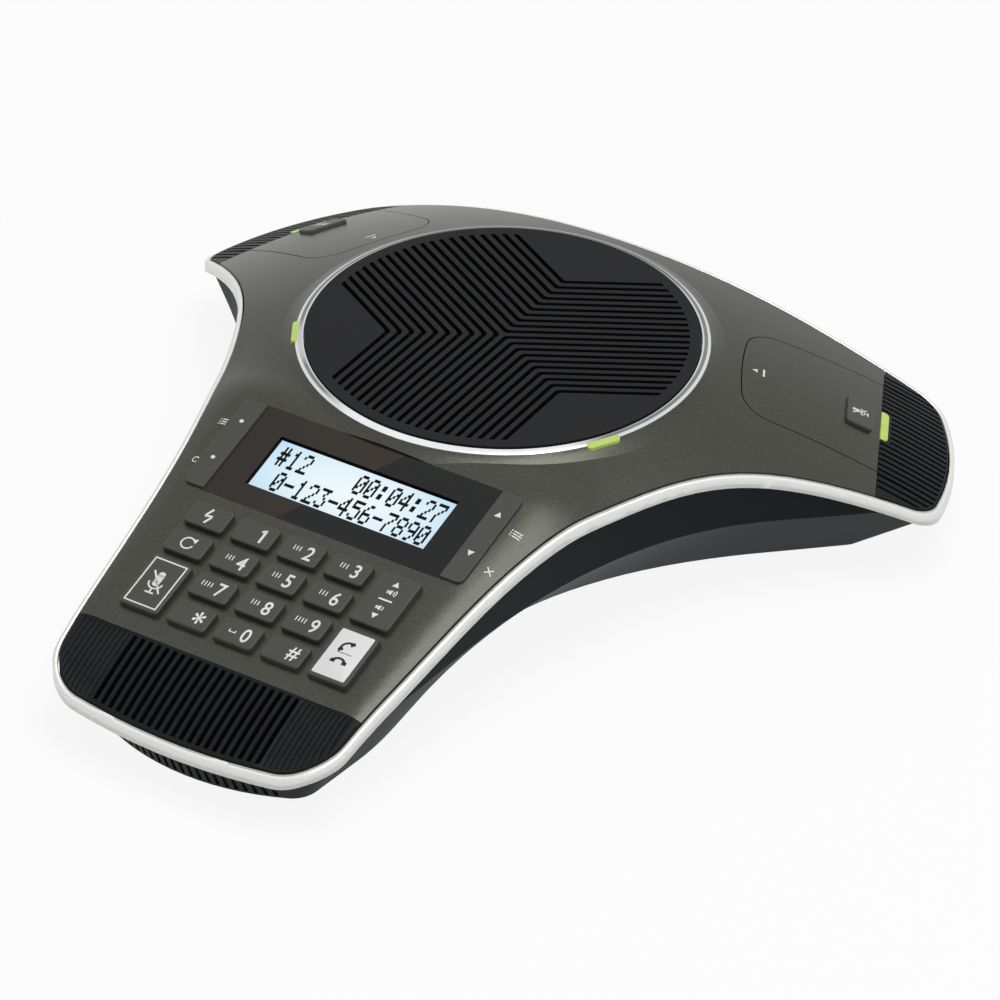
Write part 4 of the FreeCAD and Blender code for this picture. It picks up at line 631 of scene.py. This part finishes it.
class Print:
    """Flat marks drawn round the middle of a face, in millimetres, then given the ink's thickness."""

    def __init__(self):
        self.shape = bmesh.new()

    def spot(self, x, y, turn=0.0, wide=1.0, tall=1.0):
        turned = Matrix.Rotation(math.radians(turn), 4, "Z")
        return Matrix.Translation((x, y, 0)) @ turned @ Matrix.Diagonal((wide, tall, 1, 1))

    def bar(self, x, y, wide, tall, turn=0.0):
        place = self.spot(x, y, turn, wide, tall)
        bmesh.ops.create_grid(self.shape, x_segments=1, y_segments=1, size=0.5, matrix=place)

    def disc(self, x, y, radius):
        place = self.spot(x, y)
        bmesh.ops.create_circle(self.shape, cap_ends=True, segments=20, radius=radius, matrix=place)

    def arrow(self, x, y, reach, turn=0.0):
        place = self.spot(x, y, turn)
        bmesh.ops.create_circle(self.shape, cap_ends=True, segments=3, radius=reach, matrix=place)

    def arc(self, x, y, radius, start, sweep, line):
        """Part of a ring, start and sweep in degrees, drawn in steps of about 12."""
        place = self.spot(x, y, start)
        ends = [self.shape.verts.new(place @ Vector((radius + side * line / 2, 0, 0))) for side in (-1, 1)]
        edge = self.shape.edges.new(ends)
        bmesh.ops.spin(self.shape, geom=ends + [edge], cent=(x, y, 0), axis=(0, 0, 1),
                       angle=math.radians(sweep), steps=max(4, int(sweep / 12)))

    def outline(self, x, y, wide, tall, line):
        for side in (-1, 1):
            self.bar(x + side * (wide - line) / 2, y, line, tall)
            self.bar(x, y + side * (tall - line) / 2, wide - 2 * line, line)

    def figure(self, text, x, y, tall, wide=1.0):
        """A numeral or sign in Blender's own face, made a little bolder, its middle at x, y."""
        boldness = 0.012
        curve = bpy.data.curves.new("figure", "FONT")
        curve.body = text
        curve.offset = boldness
        curve.align_x = "CENTER"
        curve.align_y = "CENTER"
        holder = bpy.data.objects.new("figure", curve)
        mesh = bpy.data.meshes.new_from_object(holder)
        low = Vector([min(vertex.co[i] for vertex in mesh.vertices) for i in range(3)])
        high = Vector([max(vertex.co[i] for vertex in mesh.vertices) for i in range(3)])
        scale = tall / (high.y - low.y)
        mesh.transform(self.spot(x, y, 0, scale * wide, scale) @ Matrix.Translation(-(low + high) / 2))
        self.shape.from_mesh(mesh)
        bpy.data.objects.remove(holder)
        bpy.data.curves.remove(curve)
        bpy.data.meshes.remove(mesh)

    def piece(self, name, turn, ink, settle=None):
        """Give the marks their thickness and put them on a face, or press them on a curved node."""
        bmesh.ops.recalc_face_normals(self.shape, faces=self.shape.faces)
        for face in self.shape.faces:
            if face.normal.z < 0:
                face.normal_flip()
        ink_film = 0.04
        settled_film = 0.045 * MM
        bottom = self.shape.verts[:]
        bmesh.ops.solidify(self.shape, geom=self.shape.faces[:], thickness=-ink_film)
        to_metres = Matrix.Diagonal((MM, MM, MM, 1))
        bmesh.ops.transform(self.shape, matrix=turn @ to_metres, verts=self.shape.verts)
        if settle:
            skin = BVHTree.FromObject(frame["nodes"][settle], bpy.context.evaluated_depsgraph_get())
            for vertex in self.shape.verts:
                film = settled_film if vertex not in bottom else 0.0
                vertex.co.z = drop(skin, vertex.co).z + film
        return new_piece(name, self.shape, ink)


ink_white, place = new_finish("ink_white")
ink_cloud = grain(place, 0.8 * MM)
surface(place, {
    "Base Color": ink_cloud.tint(paint(236, 236, 232), paint(250, 250, 246)),
    "Roughness": 0.55,
    "Specular IOR Level": 0.3})
ink_black, place = new_finish("ink_black")
ink_cloud = grain(place, 0.8 * MM)
surface(place, {
    "Base Color": ink_cloud.tint(paint(30, 30, 32), paint(52, 52, 54)),
    "Roughness": 0.6,
    "Specular IOR Level": 0.3})


def muted_sign(marks, x, y, scale):
    """A microphone struck through."""
    marks.bar(x, y + 1.0 * scale, 1.3 * scale, 2.0 * scale)
    marks.disc(x, y + 2.0 * scale, 0.65 * scale)
    marks.disc(x, y, 0.65 * scale)
    marks.arc(x, y + 0.1 * scale, 1.3 * scale, 180, 180, 0.32 * scale)
    marks.bar(x, y - 1.7 * scale, 0.34 * scale, 0.9 * scale)
    marks.bar(x, y - 2.2 * scale, 1.7 * scale, 0.34 * scale)
    marks.bar(x, y + 0.3 * scale, 0.34 * scale, 5.6 * scale, 38)


def handset_sign(marks, x, y, turn, scale=1.0):
    """A telephone handset, its two ends turned from the upright."""
    marks.arc(x, y, 1.7 * scale, turn + 25, 130, 0.6 * scale)
    for end in (25, 155):
        spin = math.radians(turn + end)
        end_x = x + 1.6 * scale * math.cos(spin)
        end_y = y + 1.6 * scale * math.sin(spin)
        marks.bar(end_x, end_y, 1.15 * scale, 0.9 * scale, turn)


def loudness_sign(marks, x, y, waves):
    """A small loudspeaker with one or two waves."""
    marks.bar(x - 1.5, y, 0.8, 1.1)
    marks.arrow(x - 0.75, y, 1.15, 90)
    for i in range(waves):
        marks.arc(x - 0.4, y, 1.0 + 0.75 * i, -42, 84, 0.36)


def list_sign(marks, x, y, wide):
    """Three lines one under another, each with its dot."""
    for i in (-1, 0, 1):
        marks.bar(x + 0.35, y + 0.95 * i, wide, 0.4)
        marks.bar(x - wide / 2 - 0.3, y + 0.95 * i, 0.45, 0.4)


STROKES = {"2": 3, "3": 3, "4": 3, "5": 3, "6": 3, "7": 4, "8": 3, "9": 4}


def number_marks(figure, marks):
    """A number key: its figure on the right, and thin strokes on the left of it."""
    fine = 0.34
    if figure == "1":
        marks.bar(2.9, -0.1, 0.85, 5.2)
        marks.bar(2.3, 1.85, 0.7, 1.6, -48)
    else:
        marks.figure(figure, 2.8, -0.1, 4.9 if figure == "*" else 5.2, 0.84)
    for i in range(STROKES.get(figure, 0)):
        marks.bar(-0.7 - i * 1.05, 0.6, fine, 1.8)
    if figure == "0":
        marks.bar(-1.9, -0.5, 2.4, fine)
        for side in (-1, 1):
            marks.bar(-1.9 + side * 1.03, 0.0, fine, 0.8)


def key_marks(name, marks):
    """What is printed on one key, upright for someone in front of the keypad."""
    figure = {"key_star": "*", "key_hash": "#"}.get(name, name[-1])
    if figure in "0123456789*#":
        number_marks(figure, marks)
    if name == "key_left_top":
        marks.bar(-0.5, 1.45, 0.75, 3.1, -24)
        marks.bar(0.5, -1.45, 0.75, 3.1, -24)
        marks.bar(0, 0, 2.6, 0.7, 12)
    if name == "key_left_second":
        marks.arc(0, 0, 2.1, 60, 285, 0.55)
        marks.arrow(1.85, 1.55, 1.15, 200)
    if name == "key_mute_all":
        marks.outline(0, 0, 11.5, 18.2, 0.5)
        muted_sign(marks, 0, 0, 1.75)
    if name == "volume_rocker":
        for side in (-1, 1):
            marks.arrow(0, side * 6.2, 1.35, 90 - 90 * side)
            loudness_sign(marks, 0.5, side * 3.2, 2 if side > 0 else 1)
        marks.bar(0, 0, 4.6, 0.6)
    if name == "key_talk":
        handset_sign(marks, 0, 2.4, 45, 1.35)
        marks.bar(0, 0.6, 5.0, 0.2)
        handset_sign(marks, 0, -3.8, 0, 1.35)


for name in KEYS:
    marks = Print()
    key_marks(name, marks)
    low, high = span(name, panel_turn)
    plate_top = talk_thickness / 2 if name == "key_talk" else 0.0
    ink = ink_black if name == "key_talk" else ink_white
    mark = marks.piece(name + "_print", panel_turn @ on_top(low, high, plate_top), ink)
    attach(mark, name + "_body")


# Rocker bars
# One long rocker of the keys' plastic on each side of the window, round at its outer corners. It
# has two arrows on the right, two dots on the left, and signs for them on the cover beside.
bar_corner = 2.4 * MM
bar_edge = 0.35 * MM
upper_mark = 9.3
lower_mark = -6.8
for side, which in ((-1, "left"), (1, "right")):
    name = "rocker_bar_" + which
    rocker = new_piece(name + "_cap", moulded_cap(name, panel_turn, bar_corner, bar_edge, (side,)), key_grey)
    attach(rocker, name + "_body")
    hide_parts(name)
    marks = Print()
    for spot_y, arrow_turn in ((upper_mark, 0), (lower_mark, 180)):
        if side < 0:
            marks.disc(0, spot_y, 0.7)
        else:
            marks.arrow(0, spot_y, 1.35, arrow_turn)
    middle = panel_turn @ on_top(*span(name, panel_turn))
    mark = marks.piece(name + "_print", middle, ink_white)
    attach(mark, name + "_body")
    marks = Print()
    if side < 0:
        list_sign(marks, -5.9, 8.2, 1.8)
        marks.arc(-5.2, -8.5, 1.0, 60, 285, 0.36)
        marks.arrow(-4.35, -7.8, 0.65, 200)
    else:
        list_sign(marks, 7.9, 6.6, 2.8)
        for lean in (-45, 45):
            marks.bar(7.9, -9.0, 0.42, 3.2, lean)
    mark = marks.piece("cover_print_" + which, middle, ink_white, settle="upper_cover")
    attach(mark, "console")


# Silver rim
# A band of satin silver plastic, moulded with a round face. It lies round the edge of the cover,
# between it and the housing.
rim_silver, place = new_finish("rim_silver")
rim_grain = grain(place, 0.4 * MM, 3.0)
surface(place, {
    "Base Color": rim_grain.tint(paint(224, 224, 220), paint(244, 244, 240)),
    "Metallic": 0.6,
    "Roughness": rim_grain * 0.12 + 0.34,
    "Normal": relief(rim_grain, 0.006 * MM)})
rim_crease = 75
silver_band = new_piece("silver_band", merged_copy("rim_trim"), rim_silver, rim_crease)
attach(silver_band, "console")
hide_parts("rim_trim")


# Grilles of the arms
# Ribbed black mouldings at the three ends, held between cover and rim. Open slots in that of the
# keypad arm let sound in to the microphone, and run out on its rounded front near the rim.
grille_black, place = new_finish("grille_black")
grille_grain = grain(place, 0.35 * MM, 3.0)
surface(place, {
    "Base Color": grille_grain.tint(paint(11, 14, 16), paint(22, 26, 28)),
    "Roughness": grille_grain * 0.14 + 0.42,
    "Specular IOR Level": 0.12,
    "Normal": relief(grille_grain, 0.01 * MM)})
dress(grille_black, "arm_end_right", "arm_end_left", "unit_grille_right", "unit_grille_left",
      "bay_tray_right", "bay_tray_left", "unit_case_right", "unit_case_left")

front_slot_count = 21
front_slot_pitch = 2.86 * MM
front_slot_half = 0.75 * MM
slot_run_out = 1.6 * MM
front_rim = 2.2 * MM
front_shape = merged_copy("front_grille")
front_skin = BVHTree.FromBMesh(front_shape)
front_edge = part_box("front_grille")[0].y + front_rim
for i in range(front_slot_count):
    for side in (-1, 1):
        wall_x = (i - (front_slot_count - 1) / 2) * front_slot_pitch + side * front_slot_half
        wall = [vertex for vertex in front_shape.verts
                if abs(vertex.co.x - wall_x) < hair and vertex.co.y > front_edge]
        end_y = min(vertex.co.y for vertex in wall)
        slot_end = [vertex for vertex in wall if vertex.co.y < end_y + 2 * hair]
        mouth = max(slot_end, key=lambda vertex: vertex.co.z)
        mouth.co = drop(front_skin, mouth.co - Vector((0, slot_run_out, 0)))
slotted_front = new_piece("slotted_front", front_shape, grille_black)
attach(slotted_front, "console")
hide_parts("front_grille")


# Speaker grille
# A flat disc of black plastic, moulded in one piece, that lies in the chrome ring. Its slots run
# along three spokes at one pitch and bend where two spokes meet, inside a plain border.
disc_black, place = new_finish("disc_black")
disc_grain = grain(place, 0.4 * MM, 3.0)
surface(place, {
    "Base Color": disc_grain.tint(paint(10, 11, 13), paint(19, 20, 23)),
    "Roughness": disc_grain * 0.12 + 0.42,
    "Specular IOR Level": 0.12,
    "Normal": relief(disc_grain, 0.008 * MM)})
grille_radius = (grille_high.x - grille_low.x) / 2
field_radius = 57.7 * MM
slots_each_side = 10
slot_pitch = 3.227 * MM
slot_half = 0.75 * MM
slot_bend = 0.9 * MM
slot_edge = 0.12 * MM
first_spoke = 30
spokes = 3
arc_steps = 30


def arc_of(shape, radius, sweep):
    """A row of vertices along an arc round the middle."""
    turns = [math.radians(sweep * i / arc_steps) for i in range(arc_steps + 1)]
    return [shape.verts.new((radius * math.cos(turn), radius * math.sin(turn), 0)) for turn in turns]


def in_field(face):
    """Whether a face lies inside the plain border."""
    return all(vertex.co.length < field_radius + near for vertex in face.verts)


# half a spoke, from its middle line to the line where its slots bend into the next spoke
disc = bmesh.new()
centre = disc.verts.new((0, 0, 0))
field_arc = arc_of(disc, field_radius, 180 / spokes)
edge_arc = arc_of(disc, grille_radius, 180 / spokes)
disc.faces.new([centre] + field_arc)
for i in range(arc_steps):
    disc.faces.new((field_arc[i], edge_arc[i], edge_arc[i + 1], field_arc[i + 1]))
for k in range(slots_each_side):
    for side in (-1, 1):
        slot_wall = (k + 0.5) * slot_pitch + side * slot_half
        cut = [face for face in disc.faces if in_field(face)]
        cut += list({edge for face in cut for edge in face.edges})
        bmesh.ops.bisect_plane(disc, geom=cut, plane_co=(0, slot_wall, 0), plane_no=(0, 1, 0), dist=1e-7)
open_faces = []
for face in disc.faces:
    slot_place = face.calc_center_median().y / slot_pitch
    in_slot = abs(slot_place % 1 - 0.5) * slot_pitch < slot_half
    if in_field(face) and slot_place < slots_each_side and in_slot:
        open_faces.append(face)
bmesh.ops.delete(disc, geom=open_faces, context="FACES")

# mirrored in the spoke's middle line, then turned to the other spokes
other_half = bmesh.ops.duplicate(disc, geom=disc.verts[:] + disc.edges[:] + disc.faces[:])["geom"]
bmesh.ops.scale(disc, verts=points_of(other_half), vec=(1, -1, 1))
one_spoke = disc.verts[:] + disc.edges[:] + disc.faces[:]
for i in range(1, spokes):
    spoke_turn = Matrix.Rotation(math.radians(360 * i / spokes), 3, "Z")
    next_spoke = bmesh.ops.duplicate(disc, geom=one_spoke)["geom"]
    bmesh.ops.rotate(disc, verts=points_of(next_spoke), cent=(0, 0, 0), matrix=spoke_turn)
bmesh.ops.remove_doubles(disc, verts=disc.verts, dist=2 * near)
bmesh.ops.recalc_face_normals(disc, faces=disc.faces)
for face in disc.faces:
    if face.normal.z < 0:
        face.normal_flip()
bmesh.ops.solidify(disc, geom=disc.faces[:], thickness=grille_high.z - grille_low.z)
first_turn = Matrix.Rotation(math.radians(first_spoke), 3, "Z")
bmesh.ops.rotate(disc, verts=disc.verts, cent=(0, 0, 0), matrix=first_turn)
bends = [edge for edge in disc.edges if len(edge.link_faces) == 2 and uprightness(edge) > 0.9
         and math.radians(40) < edge.calc_face_angle() < math.radians(80)
         and edge.verts[0].co.to_2d().length < field_radius - 1 * MM]
bevel(disc, bends, slot_bend, 3)
level_edges = [edge for edge in disc.edges if len(edge.link_faces) == 2 and uprightness(edge) < 0.5
               and edge.calc_face_angle() > math.radians(80)]
bevel(disc, level_edges, slot_edge, 1)
top_now = max(vertex.co.z for vertex in disc.verts)
bmesh.ops.translate(disc, verts=disc.verts, vec=grille_top - Vector((0, 0, top_now)))


def split_large_faces(shape):
    bmesh.ops.triangulate(shape, faces=[face for face in shape.faces if len(face.verts) > 4])


split_large_faces(disc)
slotted_disc = new_piece("slotted_disc", disc, disc_black, 30)
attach(slotted_disc, "console")
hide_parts("speaker_grille")


# Acoustic cloth
# A disc of thin black cloth, woven open for the sound. It is glued to the back of the speaker
# grille and closes its slots to dust.
cloth_black, place = new_finish("cloth_black")
cloth_weave = grain(place, 0.25 * MM, 2.0)
surface(place, {
    "Base Color": cloth_weave.tint(paint(9, 10, 11), paint(21, 22, 24)),
    "Roughness": cloth_weave * 0.1 + 0.86,
    "Specular IOR Level": 0.1,
    "Normal": relief(cloth_weave, 0.02 * MM)})
cloth_radius = 60 * MM
cloth_thickness = 0.3 * MM
cloth_height = grille_low.z + 0.25 * MM
cloth_shape = bmesh.new()
cloth_middle = speaker_axis + Vector((0, 0, cloth_height))
bmesh.ops.create_cone(cloth_shape, cap_ends=True, segments=96, radius1=cloth_radius, radius2=cloth_radius,
                      depth=cloth_thickness, matrix=Matrix.Translation(cloth_middle))
grille_cloth = new_piece("grille_cloth", cloth_shape, cloth_black, 30)
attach(grille_cloth, "console")


# Chrome ring
# A turned bezel, polished and chromed, with a ledge that the grille lies on. Its face rounds over
# from a low crest inside to the edge that meets the cover's collar.
bright_chrome, place = new_finish("bright_chrome")
offset, ring_radius = round_speaker(place)
offset_x = offset.node("ShaderNodeSeparateXYZ", {}, {"Vector": offset})
offset_y = Wire(offset_x.socket.node.outputs["Y"])
bearing = offset_y.maths("ARCTAN2", offset_y, offset_x) * (180 / math.pi)


def between(value, start, full, fade, end):
    """1 from full to fade, and 0 before start and past end."""
    return value.rise(start, full) * (1 - value.rise(fade, end))


# the room that the chrome mirrors, its bearings in degrees round the speaker from the +X side
front_gleam = between(bearing, -124, -104, -42, -24)
left_gleam = between(bearing, -160, -148, -140, -128) * 0.6
hollow_shade = between(ring_radius, 61.9 * MM, 62.4 * MM, 63.1 * MM, 63.5 * MM)
back_shade = between(bearing, 50, 75, 140, 170)
ring_tone = (0.8 - hollow_shade * 0.65) * (1 - back_shade * 0.55)
gleam = ring_tone.most(front_gleam.most(left_gleam))
chrome_haze = grain(place, 5 * MM)
chrome_tone = gleam * 0.9 + chrome_haze * 0.1
surface(place, {
    "Base Color": chrome_tone.tint(paint(70, 71, 71), paint(240, 241, 242)),
    "Metallic": 1.0,
    "Roughness": chrome_haze * 0.06 + 0.1})
ring_low, ring_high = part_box("chrome_ring")
ring_gap = 0.15 * MM
ring_outer = (ring_high.x - ring_low.x) / 2
ring_inner = grille_radius + ring_gap
ledge_inner = ring_inner - 2.65 * MM
ledge_top = ring_low.z + 1.0 * MM
face_width = (ring_outer - ring_inner) * 0.85
face_drop = 0.7 * MM
face_lean = math.radians(72)
face_steps = 8
lip = 0.02 * MM
ring_section = [(ledge_inner, ledge_top), (ledge_inner, ring_low.z), (ring_outer, ring_low.z),
                (ring_outer, ring_high.z - face_drop - lip)]
for i in range(face_steps + 1):
    lean = face_lean * (1 - i / face_steps)
    face_in = face_width * (1 - math.sin(lean) / math.sin(face_lean))
    face_down = face_drop * (1 - math.cos(lean)) / (1 - math.cos(face_lean))
    ring_section.append((ring_outer - face_in, ring_high.z - face_down))
ring_section += [(ring_inner + 0.1 * MM, ring_high.z - 0.03 * MM), (ring_inner, ring_high.z - 0.15 * MM),
                 (ring_inner, ledge_top)]
ring_shape = bmesh.new()
corners = [ring_shape.verts.new(speaker_axis + Vector((out, 0, height))) for out, height in ring_section]
outline = [ring_shape.edges.new((corners[i - 1], corners[i])) for i in range(len(corners))]
bmesh.ops.spin(ring_shape, geom=corners + outline, cent=speaker_axis, axis=(0, 0, 1),
               angle=2 * math.pi, steps=180, use_merge=True)
bmesh.ops.recalc_face_normals(ring_shape, faces=ring_shape.faces)
chrome_bezel = new_piece("chrome_bezel", ring_shape, bright_chrome, 30)
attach(chrome_bezel, "console")
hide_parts("chrome_ring")


# Ring lights
# Two lime lenses of frosted acrylic, let into the ring's outer edge and the collar between the arms.
# Each microphone unit has one more, a bar beside its mute key.
lime_lens, place = new_finish("lime_lens")
lens_cloud = grain(place, 2.5 * MM)
surface(place, {
    "Base Color": lens_cloud.tint(paint(176, 208, 88), paint(196, 222, 118)),
    "Roughness": 0.3,
    "Subsurface Weight": 0.3,
    "Subsurface Scale": 2 * MM,
    "Emission Color": paint(180, 215, 90),
    "Emission Strength": 0.12})
lens_edge = 0.25 * MM
for node, body in (("ring_lights", "console"), ("unit_light_right", "microphone_unit_right"),
                   ("unit_light_left", "microphone_unit_left")):
    lens_shape = merged_copy(node, 2 * near)
    bmesh.ops.dissolve_limit(lens_shape, angle_limit=math.radians(1), verts=lens_shape.verts,
                             edges=lens_shape.edges)
    sharp = [edge for edge in lens_shape.edges
             if len(edge.link_faces) == 2 and edge.calc_face_angle() > math.radians(40)]
    bevel(lens_shape, sharp, lens_edge)
    split_large_faces(lens_shape)
    lens = new_piece(node + "_soft", lens_shape, lime_lens)
    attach(lens, body)
    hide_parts(node)


# Microphone units
# Two wireless microphones that stand in bays of the arms on gilt charging pins. Each lifts out with
# its own two cells, wrapped in blue, its board and its contacts, and has a mute key in its cover.
dress(contact_gold, "charge_pins_right", "charge_pins_left", "unit_contacts_right", "unit_contacts_left")
cell_sleeve, place = new_finish("cell_sleeve")
sleeve_cloud = grain(place, 4 * MM)
surface(place, {
    "Base Color": sleeve_cloud.tint(paint(50, 110, 160), paint(62, 124, 176)),
    "Roughness": 0.3})
dress(cell_sleeve, "unit_cells_right", "unit_cells_left")
push_reach = 79 * MM
upright_mark = Matrix.Rotation(math.radians(90), 4, "Z")
for side in ("right", "left"):
    name = f"mute_key_{side}"
    key_up = -press_axis[f"mute_{side}_press"]
    key_side = Vector((0, 0, 1)).cross(key_up).normalized()
    key_turn = Matrix((key_side.cross(key_up), key_side, key_up)).transposed().to_4x4()
    cap = new_piece(name + "_cap", moulded_cap(name, key_turn, key_corner, key_edge), key_grey)
    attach(cap, name + "_body")
    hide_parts(name)
    low, high = span(name, key_turn)
    marks = Print()
    muted_sign(marks, 0, 0, 1.1)
    mark = marks.piece(name + "_print", key_turn @ on_top(low, high) @ upright_mark, ink_white)
    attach(mark, name + "_body")

    # an arrow and a bar on the cover show where to press for the unit to come out
    arm_out = key_turn @ ((low + high) / 2) - speaker_axis
    arm_out.z = 0
    arm_out.normalize()
    push_spot = speaker_axis + arm_out * push_reach
    push_spot.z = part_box(f"unit_cover_{side}")[1].z
    push_place = Matrix.Translation(push_spot) @ arm_out.to_track_quat("Y", "Z").to_matrix().to_4x4()
    marks = Print()
    marks.arrow(0, -0.6, 1.05, 180)
    marks.bar(0, 1.9, 3.8, 0.6)
    mark = marks.piece(f"push_print_{side}", push_place, ink_white, settle=f"unit_cover_{side}")
    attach(mark, f"microphone_unit_{side}")
